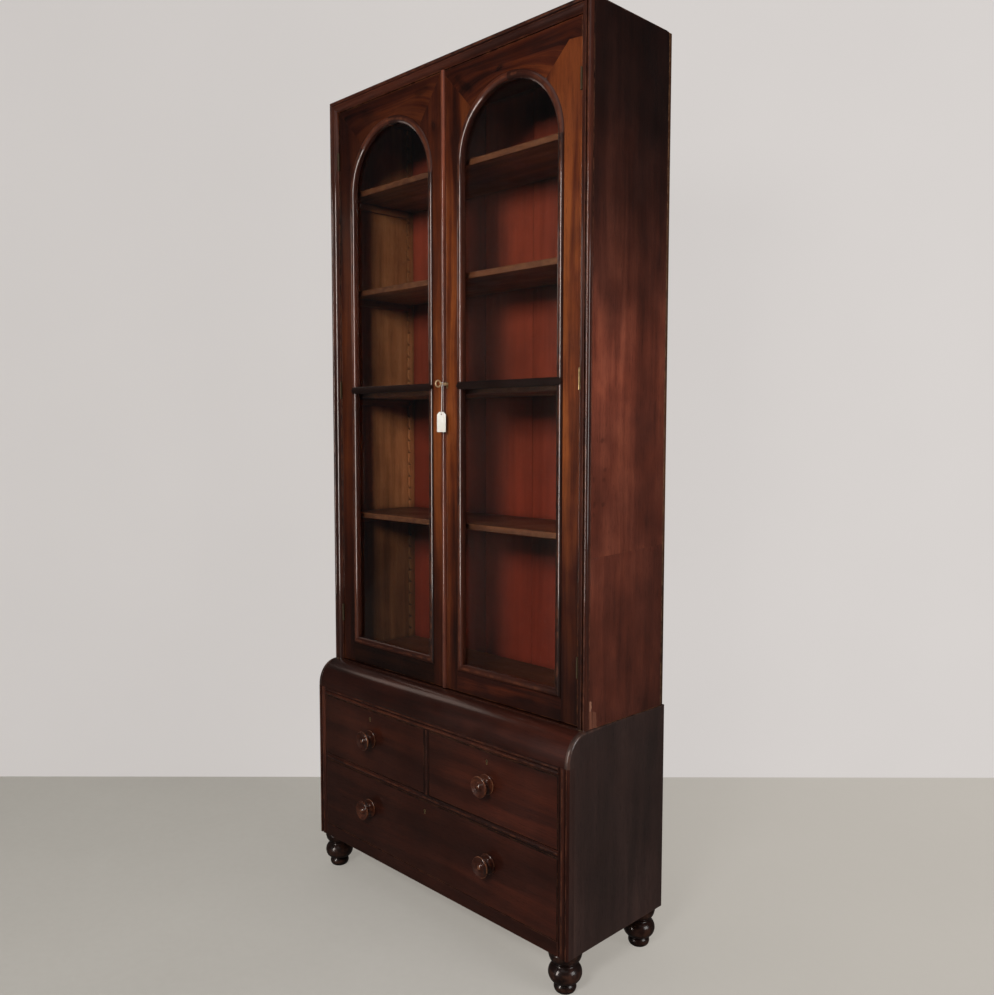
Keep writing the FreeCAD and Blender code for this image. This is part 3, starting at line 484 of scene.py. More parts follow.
def wood(name, dark, mid, light, coords=None, fig=1.0, ring=3.2, contrast=1.0, mottle=0.35, pores=0.6, blotch=0.35,
         rough=0.38, spec=0.14, coat=1.0, coat_rough=0.10, coat_ior=1.42, bump=0.10, wave=0.25, grime_and_shade=0.65, grime_and_shade_dist=0.022,
         wear=0.4, worn=(0.30, 0.10, 0.035), red=(1.15, 0.72, 0.62), figure_and_painted_light=None):
    g = Graph(name)
    if coords is None:
        gc = g.node("Attribute", attribute_name="gc").outputs["Vector"]
        tn = g.node("SeparateXYZ", {0: g.node("Attribute", attribute_name="tn").outputs["Vector"]})
        lum, hue, fg = tn.outputs[0], tn.outputs[1], tn.outputs[2]
        ew = g.node("Attribute", attribute_name="ew").outputs["Fac"]
    else:
        sp = g.node("SeparateXYZ", {0: g.node("TexCoord").outputs["Object"]})
        order = {"z": (0, 1, 2), "x": (2, 1, 0), "y": (0, 2, 1)}[coords]
        cb = g.node("CombineXYZ", {k: sp.outputs[order[k]] for k in range(3)})
        gc, lum, hue, fg, ew = cb.outputs[0], None, None, None, None
    obj = g.node("TexCoord").outputs["Object"]
    # slow wander of the fibres
    _, wc = g.noise(g.vmath("MULTIPLY", gc, (5.0, 5.0, 1.3)), 1.0, 2.0, 0.5)
    wander = g.vmath("MULTIPLY", g.vmath("SUBTRACT", wc, (0.5, 0.5, 0.5)), (0.05, 0.05, 0.0))
    p = g.vmath("ADD", gc, wander)
    # annual figure: contour lines of a long noise field
    n1, _ = g.noise(g.vmath("MULTIPLY", p, (15 * fig, 15 * fig, 1.15 * fig)), 1.0, 2.0, 0.5, 0.2)
    band = g.math("PINGPONG", g.math("MULTIPLY", n1, ring * 2), 1.0)
    band = g.span(band, 0.0, 1.0)
    n3, _ = g.noise(g.vmath("MULTIPLY", p, (75 * fig, 75 * fig, 2.4)), 1.0, 3.0, 0.6)
    n2, _ = g.noise(g.vmath("MULTIPLY", gc, (420, 420, 9)), 1.0, 2.0, 0.6)
    n4, _ = g.noise(g.vmath("MULTIPLY", gc, (1300, 1300, 42)), 1.0, 1.0, 0.5)
    pore = g.span(n4, 0.60, 0.70)
    n5, _ = g.noise(obj, 2.6, 3.0, 0.55)
    # broad soft streaks and a faint mottle across them carry most of the tone
    nl, _ = g.noise(g.vmath("MULTIPLY", p, (6.5 * fig, 6.5 * fig, 0.8)), 1.0, 2.0, 0.5, 0.3)
    nm, _ = g.noise(g.vmath("MULTIPLY", p, (24 * fig, 24 * fig, 1.9)), 1.0, 2.0, 0.5, 0.4)
    nc, _ = g.noise(g.vmath("MULTIPLY", gc, (14.0, 14.0, 11.0)), 1.0, 2.0, 0.5)
    t = None
    for q, a in ((nl, 0.95), (nm, 0.75), (nc, mottle), (band, 0.12), (n3, 0.42), (n2, 0.20)):
        q = g.math("MULTIPLY", g.math("SUBTRACT", q, 0.5), a)
        t = q if t is None else g.math("ADD", t, q)
    t = g.math("MULTIPLY", t, contrast)
    if fg is not None:
        t = g.math("MULTIPLY", t, fg)
    t = g.math("ADD", t, 0.5)
    col = g.ramp(t, [(0.22, dark), (0.5, mid), (0.80, light)])
    tone = g.span(n5, 0.25, 0.75, 1.0 - blotch, 1.0 + blotch * 0.55)
    if lum is not None:
        tone = g.math("MULTIPLY", tone, lum)
    col = g.mix(1.0, col, g.node("CombineXYZ", {0: tone, 1: tone, 2: tone}).outputs[0], "MULTIPLY")
    if hue is not None:
        col = g.mix(hue, col, g.mix(1.0, col, red, "MULTIPLY"))
    col = g.mix(g.math("MULTIPLY", pore, pores), col, g.mix(1.0, col, (0.25, 0.2, 0.2), "MULTIPLY"))
    # figure marks and painted light and shade, laid over the colour by the given function
    if figure_and_painted_light:
        col = figure_and_painted_light(g, col, obj)
    if ew is not None and wear > 0:
        nw, _ = g.noise(obj, 38.0, 3.0, 0.65)
        k = g.math("MULTIPLY", g.math("MULTIPLY", ew, g.span(nw, 0.38, 0.66)), wear)
        col = g.mix(k, col, worn)
    # painted shade and grime: ambient occlusion darkens the colour in corners, recesses and the gaps between parts
    open_ = dull(g, grime_and_shade_dist, grime_and_shade)
    col = g.mix(1.0, col, g.node("CombineXYZ", {0: open_, 1: open_, 2: open_}).outputs[0], "MULTIPLY")
    # rubbed and hazy places
    nr, _ = g.noise(obj, 9.0, 4.0, 0.6)
    r = g.math("ADD", g.math("MULTIPLY", g.span(nr, 0.3, 0.75), 0.16), rough - 0.06)
    r = g.math("ADD", r, g.math("MULTIPLY", pore, 0.2))
    r = g.math("ADD", r, g.math("MULTIPLY", g.math("SUBTRACT", 1.0, open_), 0.25), clamp=True)
    lw, _ = g.noise(g.vmath("MULTIPLY", gc, (26, 26, 5)), 1.0, 2.0, 0.5)
    b1 = g.bump(lw, wave, 0.0012)
    hf = g.math("ADD", g.math("MULTIPLY", n2, 0.5), g.math("MULTIPLY", pore, -1.0))
    b2 = g.bump(hf, bump, 0.0004, b1)
    b3 = g.bump(hf, bump * 0.35, 0.0003, b1)
    sh = g.shader(Base_Color=col, Roughness=r, Normal=b2)
    sh.inputs["Specular IOR Level"].default_value = spec
    sh.inputs["Coat Weight"].default_value = coat
    sh.inputs["Coat Roughness"].default_value = coat_rough
    sh.inputs["Coat IOR"].default_value = coat_ior
    g.put(sh.inputs["Coat Normal"], b3)
    return g.m


def painted(name, base, coords="attr", streak=0.35):
    """Thin red stain on softwood boards."""
    g = Graph(name)
    gc = g.node("Attribute", attribute_name="gc").outputs["Vector"]
    tn = g.node("SeparateXYZ", {0: g.node("Attribute", attribute_name="tn").outputs["Vector"]})
    obj = g.node("TexCoord").outputs["Object"]
    n1, _ = g.noise(g.vmath("MULTIPLY", gc, (34, 34, 1.6)), 1.0, 4.0, 0.6, 0.3)
    n2, _ = g.noise(g.vmath("MULTIPLY", gc, (300, 300, 6)), 1.0, 3.0, 0.6)
    n3, _ = g.noise(obj, 3.4, 4.0, 0.6)
    t = g.math("ADD", g.math("MULTIPLY", n1, 0.6), g.math("MULTIPLY", n2, 0.4))
    d = tuple(c * (1 - streak) for c in base)
    l = tuple(min(1.0, c * (1 + streak * 0.8)) for c in base)
    col = g.ramp(t, [(0.25, d), (0.5, base), (0.78, l)])
    tone = g.math("MULTIPLY", g.span(n3, 0.25, 0.75, 0.72, 1.14), tn.outputs[0])
    col = g.mix(1.0, col, g.node("CombineXYZ", {0: tone, 1: tone, 2: tone}).outputs[0], "MULTIPLY")
    col = g.mix(tn.outputs[1], col, (0.55, 0.30, 0.14))
    # painted light: the boards are darkened and reddened towards the bottom, leaving the upper boards paler as under a
    # reflected haze
    low = g.span(g.node("SeparateXYZ", {0: obj}).outputs[2], 0.85, 1.55, 1.0, 0.0)
    col = g.mix(low, col, g.mix(1.0, col, (0.86, 0.66, 0.62), "MULTIPLY"))
    # painted shade: ambient occlusion darkens the board colour in corners and recesses
    o = dull(g, 0.03, 0.6)
    col = g.mix(1.0, col, g.node("CombineXYZ", {0: o, 1: o, 2: o}).outputs[0], "MULTIPLY")
    r = g.span(n3, 0.2, 0.8, 0.52, 0.72)
    b = g.bump(g.math("ADD", g.math("MULTIPLY", n2, 0.6), n1), 0.25, 0.0005)
    sh = g.shader(Base_Color=col, Roughness=r, Normal=b)
    sh.inputs["Specular IOR Level"].default_value = 0.12
    return g.m


def metal(name, base, tarnish, rough=0.34, spots=0.5, metallic=1.0, bright=None):
    g = Graph(name)
    obj = g.node("TexCoord").outputs["Object"]
    n1, _ = g.noise(obj, 60.0, 5.0, 0.65)
    n2, _ = g.noise(obj, 420.0, 3.0, 0.6)
    k = g.math("MULTIPLY", g.span(n1, 0.35, 0.68), spots)
    o = dull(g, 0.004, 0.6)
    k = g.math("MAXIMUM", k, g.math("SUBTRACT", 1.0, o))
    if bright is not None:                   # only metal near this point keeps the bright base colour; farther off it takes the dark tone
        d = g.vmath("DISTANCE", obj, bright)
        far = g.span(d, 0.030, 0.055, 0.0, 0.92)
        k = g.math("MAXIMUM", k, far)
    col = g.mix(k, base, tarnish)
    r = g.math("ADD", g.math("MULTIPLY", k, 0.3), g.math("ADD", g.math("MULTIPLY", n2, 0.12), rough - 0.08), clamp=True)
    b = g.bump(g.math("ADD", n1, g.math("MULTIPLY", n2, 0.5)), 0.25, 0.0002)
    sh = g.shader(Base_Color=col, Roughness=r, Normal=b)
    g.put(sh.inputs["Metallic"], g.math("SUBTRACT", metallic, g.math("MULTIPLY", k, 0.35)))
    return g.m


def glass(name):
    g = Graph(name)
    obj = g.node("TexCoord").outputs["Object"]
    n1, _ = g.noise(g.vmath("MULTIPLY", obj, (7.0, 7.0, 2.6)), 1.0, 2.0, 0.5)
    b = g.bump(n1, 0.22, 0.0016)
    n2, _ = g.noise(obj, 14.0, 4.0, 0.6)
    o = dull(g, 0.02, 1.0)
    haze = g.math("ADD", g.math("MULTIPLY", g.span(n2, 0.45, 0.8), 0.010),
                  g.math("MULTIPLY", g.math("SUBTRACT", 1.0, o), 0.03))
    sh = g.node("BsdfPrincipled", {"Base Color": (0.955, 0.975, 0.955), "Roughness": haze, "IOR": 1.5,
                                  "Transmission Weight": 1.0, "Normal": b})
    tr = g.node("BsdfTransparent", {"Color": (0.93, 0.95, 0.93)})
    mx = g.node("MixShader", {0: g.node("LightPath").outputs["Is Shadow Ray"], 1: sh.outputs[0], 2: tr.outputs[0]})
    g.t.links.new(mx.outputs[0], g.out.inputs[0])
    return g.m


def cotton(name, col, thread=900.0):
    g = Graph(name)
    obj = g.node("TexCoord").outputs["Object"]
    w = g.node("TexWave", {"Vector": obj, "Scale": thread, "Distortion": 1.5, "Detail": 2.0}, wave_type="BANDS", bands_direction="DIAGONAL")
    n, _ = g.noise(obj, 900.0, 3.0, 0.6)
    k = g.math("ADD", g.math("MULTIPLY", w.outputs[1], 0.6), g.math("MULTIPLY", n, 0.4))
    c = g.mix(k, tuple(x * 0.62 for x in col), col)
    b = g.bump(k, 0.6, 0.0003)
    sh = g.shader(Base_Color=c, Roughness=0.85, Normal=b)
    sh.inputs["Sheen Weight"].default_value = 0.3
    sh.inputs["Sheen Roughness"].default_value = 0.5
    return g.m


def paper(name):
    g = Graph(name)
    obj = g.node("TexCoord").outputs["Object"]
    n, _ = g.noise(obj, 700.0, 4.0, 0.7)
    m, _ = g.noise(obj, 45.0, 3.0, 0.6)
    ew = g.node("Attribute", attribute_name="ew").outputs["Fac"]
    c = g.mix(g.span(m, 0.35, 0.75), (0.90, 0.88, 0.83), (0.80, 0.77, 0.70))
    c = g.mix(g.math("MULTIPLY", ew, 0.45), c, (0.55, 0.50, 0.42))
    b = g.bump(n, 0.3, 0.0002)
    sh = g.shader(Base_Color=c, Roughness=0.72, Normal=b)
    sh.inputs["Specular IOR Level"].default_value = 0.4
    return g.m


# ------------------------------------------------------------------ the materials of this piece
def side_painted_light(g, col, obj):
    """Painted light and shade on the side panels: painted lightest, as under a soft sheen, at two thirds of their
    height, nearly black towards the top and a little darker towards the back. Dark knots lie in the figure.
    """
    sp = g.node("SeparateXYZ", {0: obj})
    n, _ = g.noise(g.vmath("MULTIPLY", obj, (7.0, 7.0, 1.6)), 1.0, 3.0, 0.6)
    z = g.math("ADD", sp.outputs[2], g.math("MULTIPLY", g.math("SUBTRACT", n, 0.5), 0.36))
    t = g.span(z, 0.6, 2.3, 0.0, 1.0, False)
    tone = [(0.63, 0.95), (0.85, 1.02), (1.12, 1.0), (1.30, 1.22), (1.44, 1.52), (1.53, 1.42), (1.70, 0.66), (1.93, 0.32), (2.12, 0.135), (2.28, 0.12)]
    k = g.ramp(t, [((a - 0.6) / 1.7, (b / 2, b / 2, b / 2)) for a, b in tone], "EASE")
    k = g.math("MULTIPLY", k, 2.0)
    k = g.math("MULTIPLY", k, g.span(sp.outputs[1], -0.05, 0.2, 1.06, 0.84))
    k3 = g.node("CombineXYZ", {0: k, 1: g.math("POWER", k, 0.92), 2: g.math("POWER", k, 0.84)}).outputs[0]
    col = g.mix(1.0, col, k3, "MULTIPLY")
    return spots(g, col, obj, [(-55, 1306, 13, 9, 0, 0.5), (-43, 1237, 11, 9, 0, 0.45), (-83, 1215, 8, 12, 0, 0.4), (-47, 1214, 10, 8, 0, 0.4),
                               (-82, 1158, 8, 12, 0, 0.4), (-49, 1156, 11, 9, 0, 0.45), (-82, 1135, 8, 9, 0, 0.35)], axes=(1, 2), warp=0.010)


def inner_painted_light(g, col, obj):
    """Painted light and shade on the inner wood: painted paler about the middle shelf space and darker low down."""
    z = g.node("SeparateXYZ", {0: obj}).outputs[2]
    k = g.math("MULTIPLY", g.span(z, 0.92, 1.14, 0.62, 1.75), g.span(z, 1.34, 1.52, 1.0, 0.62))
    return g.mix(1.0, col, g.node("CombineXYZ", {0: k, 1: k, 2: k}).outputs[0], "MULTIPLY")


def shelf_tops(g, col, obj):
    """The upper faces of the shelves are painted darker than their planed front edges."""
    nz = g.node("SeparateXYZ", {0: g.node("NewGeometry").outputs["Normal"]}).outputs[2]
    k = g.span(nz, 0.45, 0.9, 1.0, 0.36)
    return g.mix(1.0, col, g.node("CombineXYZ", {0: k, 1: g.math("POWER", k, 1.15), 2: g.math("POWER", k, 1.1)}).outputs[0], "MULTIPLY")


def spots(g, col, obj, items, axes=(0, 2), warp=0.016, swirl=0.0):
    """Darker places in the figure: (u, w, half length, half width, degrees, strength) in mm on a face."""
    _, wn = g.noise(obj, 34.0, 3.0, 0.6)
    q = g.vmath("ADD", obj, g.vmath("MULTIPLY", g.vmath("SUBTRACT", wn, (0.5, 0.5, 0.5)), (warp, warp, warp)))
    sp = g.node("SeparateXYZ", {0: q})
    rn, _ = g.noise(obj, 55.0, 2.0, 0.5)
    for u, w, ru, rw, deg, k in items:
        a, b = math.cos(math.radians(deg)), math.sin(math.radians(deg))
        du = g.math("SUBTRACT", sp.outputs[axes[0]], u * S)
        dw = g.math("SUBTRACT", sp.outputs[axes[1]], w * S)
        x = g.math("DIVIDE", g.math("ADD", g.math("MULTIPLY", du, a), g.math("MULTIPLY", dw, b)), ru * S)
        y = g.math("DIVIDE", g.math("SUBTRACT", g.math("MULTIPLY", dw, a), g.math("MULTIPLY", du, b)), rw * S)
        d = g.math("SQRT", g.math("ADD", g.math("MULTIPLY", x, x), g.math("MULTIPLY", y, y)))
        f = g.span(d, 0.15, 1.0, k, 0.0)
        ring = g.span(g.math("SINE", g.math("ADD", g.math("MULTIPLY", d, 11.0), g.math("MULTIPLY", rn, 7.0))), -1.0, 1.0, 0.72, 1.0)
        f = g.math("MULTIPLY", f, ring, clamp=True)
        col = g.mix(f, col, g.mix(1.0, col, (0.10, 0.11, 0.16), "MULTIPLY"))
    return col


def door_marks_and_shade(g, col, obj):
    """Knots and dark clouds in the flame veneer over the arches. The doors also darken low down the stiles, at the top,
    low on the right door's hinge stile and towards the left: partly the veneer's own tone, partly painted shade.
    """
    col = spots(g, col, obj, [(203, 2207, 24, 15, 10, 0.85), (78, 2194, 52, 17, -33, 0.75), (52, 2222, 26, 12, -10, 0.6), (-45, 2123, 15, 22, 0, 0.8),
                              (-90, 2225, 55, 20, 8, 0.6), (-330, 2215, 60, 24, -8, 0.5), (330, 2225, 44, 14, 6, 0.35),
                              (300, 660, 60, 16, 4, 0.4), (140, 664, 40, 13, -5, 0.45)])
    # painted shade, partly the veneer's own tone: darker low down and at the top, low on the right door's hinge stile
    # and towards the left
    sp = g.node("SeparateXYZ", {0: obj})
    n, _ = g.noise(obj, 3.2, 3.0, 0.6)
    z = g.math("ADD", sp.outputs[2], g.math("MULTIPLY", g.math("SUBTRACT", n, 0.5), 0.5))
    left = g.span(sp.outputs[0], -0.40, -0.28, 1.0, 0.0)
    k = g.math("MULTIPLY", g.span(z, 0.62, 1.55, g.math("ADD", 0.30, g.math("MULTIPLY", left, 0.28)), g.math("SUBTRACT", 0.92, g.math("MULTIPLY", left, 0.24))),
               g.span(z, 1.68, 2.14, 1.0, 0.46))
    edge = g.math("MULTIPLY", g.span(sp.outputs[0], 0.36, 0.42), g.span(z, 0.75, 1.35, 0.5, 0.0))
    k = g.math("MULTIPLY", k, g.math("SUBTRACT", 1.0, edge))
    x = g.span(sp.outputs[0], -0.5, 0.05, 0.66, 1.0)
    k = g.math("MULTIPLY", k, x)
    return g.mix(1.0, col, g.node("CombineXYZ", {0: k, 1: g.math("POWER", k, 1.12), 2: g.math("POWER", k, 0.85)}).outputs[0], "MULTIPLY")


W_DOOR = wood("door_veneer", (0.040, 0.0085, 0.0028), (0.125, 0.026, 0.0062), (0.27, 0.070, 0.013), fig=1.2, ring=3.0,
              blotch=0.30, worn=(0.34, 0.12, 0.04), contrast=1.25, spec=0.09, figure_and_painted_light=door_marks_and_shade)
W_MOULD = wood("moulding_wood", (0.013, 0.0040, 0.0026), (0.034, 0.0092, 0.0052), (0.078, 0.0215, 0.0105), fig=1.6, ring=2.6,
               blotch=0.22, wear=0.5, worn=(0.15, 0.045, 0.020), coat_rough=0.08)
W_SIDE = wood("side_veneer", (0.032, 0.0082, 0.0052), (0.098, 0.0235, 0.0130), (0.200, 0.055, 0.030), fig=0.95, ring=3.6,
              contrast=0.5, mottle=0.75, blotch=0.20, worn=(0.24, 0.09, 0.045), figure_and_painted_light=side_painted_light)
W_CHEST = wood("chest_wood", (0.0125, 0.0036, 0.0022), (0.034, 0.0088, 0.0048), (0.085, 0.0205, 0.0092), fig=1.1, ring=2.8,
               contrast=0.6, blotch=0.28, coat_rough=0.15, worn=(0.16, 0.055, 0.025))
W_CSIDE = wood("chest_side_wood", (0.020, 0.0100, 0.0082), (0.037, 0.0180, 0.0148), (0.060, 0.029, 0.022), fig=1.0, ring=2.8,
               contrast=0.8, blotch=0.25, rough=0.44, spec=0.25, coat_rough=0.2, worn=(0.12, 0.050, 0.03))
W_KNOB = wood("knob_wood", (0.018, 0.0050, 0.0030), (0.050, 0.0130, 0.0066), (0.11, 0.031, 0.014), fig=2.2, ring=2.4,
              blotch=0.25, wear=0.7, worn=(0.22, 0.085, 0.04), coat_rough=0.06)
W_FOOT = wood("foot_wood", (0.0045, 0.0022, 0.0018), (0.011, 0.0045, 0.0033), (0.028, 0.0100, 0.0065), fig=2.0, ring=2.2,
              blotch=0.3, wear=0.5, worn=(0.075, 0.032, 0.02), coat=0.7, coat_rough=0.14)
W_SHELF = wood("shelf_wood", (0.062, 0.0165, 0.0060), (0.140, 0.040, 0.0145), (0.25, 0.080, 0.030), fig=1.3, ring=3.0,
               blotch=0.25, rough=0.5, coat=0.25, coat_rough=0.25, worn=(0.28, 0.10, 0.038), figure_and_painted_light=shelf_tops)
W_INNER = wood("inner_wood", (0.160, 0.054, 0.020), (0.330, 0.118, 0.045), (0.47, 0.190, 0.078), fig=0.9, ring=3.0,
               blotch=0.25, rough=0.55, coat=0.15, coat_rough=0.3, worn=(0.32, 0.17, 0.08), figure_and_painted_light=inner_painted_light)
W_DRAWER = wood("drawer_wood", (0.19, 0.115, 0.055), (0.34, 0.215, 0.105), (0.47, 0.32, 0.17), fig=1.1, ring=3.0,
                blotch=0.18, rough=0.62, coat=0.0, worn=(0.55, 0.40, 0.24), bump=0.2)
W_ROUGH = wood("carcass_pine", (0.085, 0.050, 0.028), (0.185, 0.112, 0.062), (0.29, 0.185, 0.105), fig=1.0, ring=3.0,
               blotch=0.35, rough=0.72, coat=0.0, worn=(0.36, 0.25, 0.15), bump=0.3, wave=0.5)
W_ROUGH_CAD = wood("carcass_pine_runners", (0.085, 0.050, 0.028), (0.185, 0.112, 0.062), (0.29, 0.185, 0.105), coords="y",
                   fig=1.0, ring=3.0, blotch=0.35, rough=0.72, coat=0.0, bump=0.3, wave=0.5)
W_ROUGH_X = wood("carcass_pine_board", (0.085, 0.050, 0.028), (0.185, 0.112, 0.062), (0.29, 0.185, 0.105), coords="x",
                 fig=1.0, ring=3.0, blotch=0.35, rough=0.72, coat=0.0, bump=0.3, wave=0.5)
W_RAW = wood("bare_wood", (0.20, 0.085, 0.055), (0.42, 0.20, 0.13), (0.62, 0.34, 0.24), fig=2.5, ring=3.0, blotch=0.3,
             rough=0.8, coat=0.0, bump=0.9, wave=1.0, wear=0.0, pores=0.3)
W_BACK = painted("red_back_boards", (0.31, 0.052, 0.027))
GLASS = glass("window_glass")
BRASS = metal("old_brass", (0.56, 0.40, 0.17), (0.10, 0.07, 0.035), 0.32, 0.7)
HINGE = metal("hinge_brass", (0.50, 0.36, 0.17), (0.030, 0.020, 0.012), 0.38, 0.6, bright=(0.468, -0.094, 1.4465))
KEYM = metal("key_brass", (0.82, 0.62, 0.37), (0.34, 0.22, 0.12), 0.34, 0.45, metallic=0.6)
IRON = metal("dark_iron", (0.16, 0.145, 0.13), (0.05, 0.032, 0.022), 0.40, 0.85)
COTTON = cotton("white_cotton", (0.80, 0.78, 0.73))
CARD = paper("plain_card")
# near-black material that paints the shade inside the keyholes
_g = Graph("keyhole_painted_shade")
_n, _ = _g.noise(_g.node("TexCoord").outputs["Object"], 300.0, 3.0, 0.6)
_g.shader(Base_Color=_g.ramp(_n, [(0.3, (0.002, 0.0015, 0.0012)), (0.7, (0.008, 0.005, 0.004))]), Roughness=0.9)
DARK = _g.m

DIM, DARKER = (0.62, 0.25, 1.0), (0.45, 0.35, 1.0)


# ------------------------------------------------------------------ upper case
def case_sides():
    for sx, nm in ((-1, "left"), (1, "right")):
        p = Piece("upper_side_%s_board" % nm)
        a, b = sorted((sx * X_IN_UP, sx * (XU - 0.95)))
        p.add(*rbox(a, b, Y_FACEB, 188.0, Z_JOINT, H_TOTAL, 0.5), grain="z", seed=11 + sx)
        a, b = sorted((sx * X_IN_UP, sx * (XU - 0.12)))
        p.add(*rbox(a, b, 188.0, YB_UP, Z_JOINT, H_TOTAL - 1.0, 2.0), grain="z", seed=14 + sx, tint=(0.13, 0.0, 1.0))
        p.make("root", "inner_wood", [W_INNER], ["upper_side_%s" % nm])
        q = Piece("upper_side_%s_veneer" % nm)
        fn = lambda a, b, c, s=sx: (s * c, a, b)
        up = [(-92.0, 1033.0), (16.0, 1037.2), (120.0, 1041.0), (187.8, 1044.0), (187.8, 2279.0), (184.0, 2284.4), (178.0, 2286.0), (-92.0, 2286.0)]
        lo = [(187.8, 633.0), (187.8, 1043.7), (120.0, 1040.7), (16.0, 1036.9), (-92.0, 1032.7)]
        if sx > 0:
            lo += [(-92.0, 699.0), (-87.0, 699.6), (-83.6, 696.0), (-84.4, 690.0), (-82.2, 684.0), (-86.0, 678.0), (-82.0, 673.4),
                   (-75.0, 672.2), (-69.0, 670.0), (-64.4, 663.0), (-66.0, 655.0), (-63.0, 648.0), (-65.0, 640.0), (-61.5, 633.0)]
        else:
            lo += [(-92.0, 633.0)]
        w_up = [0.12, 0.12, 0.12, 0.12, 0.9, 0.9, 0.9, 0.12]
        q.add(*slab(up, XU, XU - 1.0, w_up, fn, e=2.5), grain="z", seed=21 + sx, tint=(1.0, 0.05, 1.15))
        q.add(*slab(lo, XU - 0.04, XU - 1.0, 0.12, fn), grain="z", seed=27 + sx, tint=(0.90, 0.10, 1.0))
        a, b = sorted((sx * (XU - 1.2), sx * XU))
        q.add(*rbox(a, b, Y_DOOR + 0.1, -92.15, Z_JOINT + 1.0, H_TOTAL, 0.3), grain="z", seed=33, tint=(0.55, 0.2, 1.0))
        q.make("root", "side_wood", [W_SIDE])


def chip():
    """Bare wood where the veneer has broken away at the lower front corner of the right side."""
    p = Piece("side_chip")
    out = [(-91.9, 700.0), (-86.5, 700.2), (-82.6, 696.0), (-83.4, 690.0), (-81.2, 684.0), (-84.6, 678.0), (-81.2, 674.0),
           (-74.0, 673.2), (-68.0, 671.0), (-63.4, 663.0), (-65.0, 655.0), (-62.0, 648.0), (-64.0, 640.0), (-60.5, 632.6), (-91.9, 632.6)]
    n = 26
    ys, zs = np.linspace(-91.9, -60.5, n), np.linspace(632.6, 700.2, 2 * n)

    def inside(y, z):
        c = False
        for (y1, z1), (y2, z2) in zip(out, out[1:] + out[:1]):
            if (z1 > z) != (z2 > z) and y < (y2 - y1) * (z - z1) / (z2 - z1) + y1:
                c = not c
        return c
    v, f, ids, tint = [], [], {}, []
    for i, y in enumerate(ys):
        for j, z in enumerate(zs):
            h = 0.32 * math.sin(y * 0.9 + z * 0.13) * math.sin(z * 0.35 + 0.5 * y) + 0.22 * math.sin(z * 1.9 + y * 0.7) + 0.12 * rnd(i * 71 + j)
            ids[i, j] = len(v)
            v.append((XU - 0.62 + 0.28 * h, y, z))
            k = 1.0 if z > 676 else 0.0
            tint.append((0.80 if k else 0.45, 0.0 if k else 0.6, 1.0))
    for i in range(n - 1):
        for j in range(2 * n - 1):
            yc, zc = (ys[i] + ys[i + 1]) / 2, (zs[j] + zs[j + 1]) / 2
            if inside(yc, zc):
                f.append((ids[i, j], ids[i + 1, j], ids[i + 1, j + 1], ids[i, j + 1]))
    p.add(v, f, grain="z", seed=41)
    p.tn[-1] = np.array(tint)
    p.make("root", "rough_wood", [W_RAW], weighted=False)


MP = profile([(0.0, 0.0), (0.0, 6.0),
              ("arc", (6.0 - 6.0 * math.cos(math.radians(50)), 6.0 + 6.0 * math.sin(math.radians(50))), (6.0, 12.0)),
              ("arc", (6.0 + 6.0 * math.sin(math.radians(35)), 6.0 + 6.0 * math.cos(math.radians(35))),
               (6.0 + 6.0 * math.sin(math.radians(72)), 6.0 + 6.0 * math.cos(math.radians(72)))),
              (12.4, 7.2), (13.2, 11.0), ("arc", (24.9, 8.6), (30.8, 1.6)), (32.0, 1.6), (32.0, 0.0)], 7)


def cut_profile(pts, smax):
    out = []
    for (s0, d0), (s1, d1) in zip(pts, pts[1:] + pts[:1]):
        if s0 <= smax:
            out.append((s0, d0))
        if (s0 - smax) * (s1 - smax) < 0:
            t = (smax - s0) / (s1 - s0)
            out.append((smax, d0 + (d1 - d0) * t))
    return out


def mp_wear(s, d):
    return 1.0 if (4.0 < s < 8.5 and d > 11.3) or (12.6 < s < 15.5 and d > 10.2) or s > 30.5 else 0.0


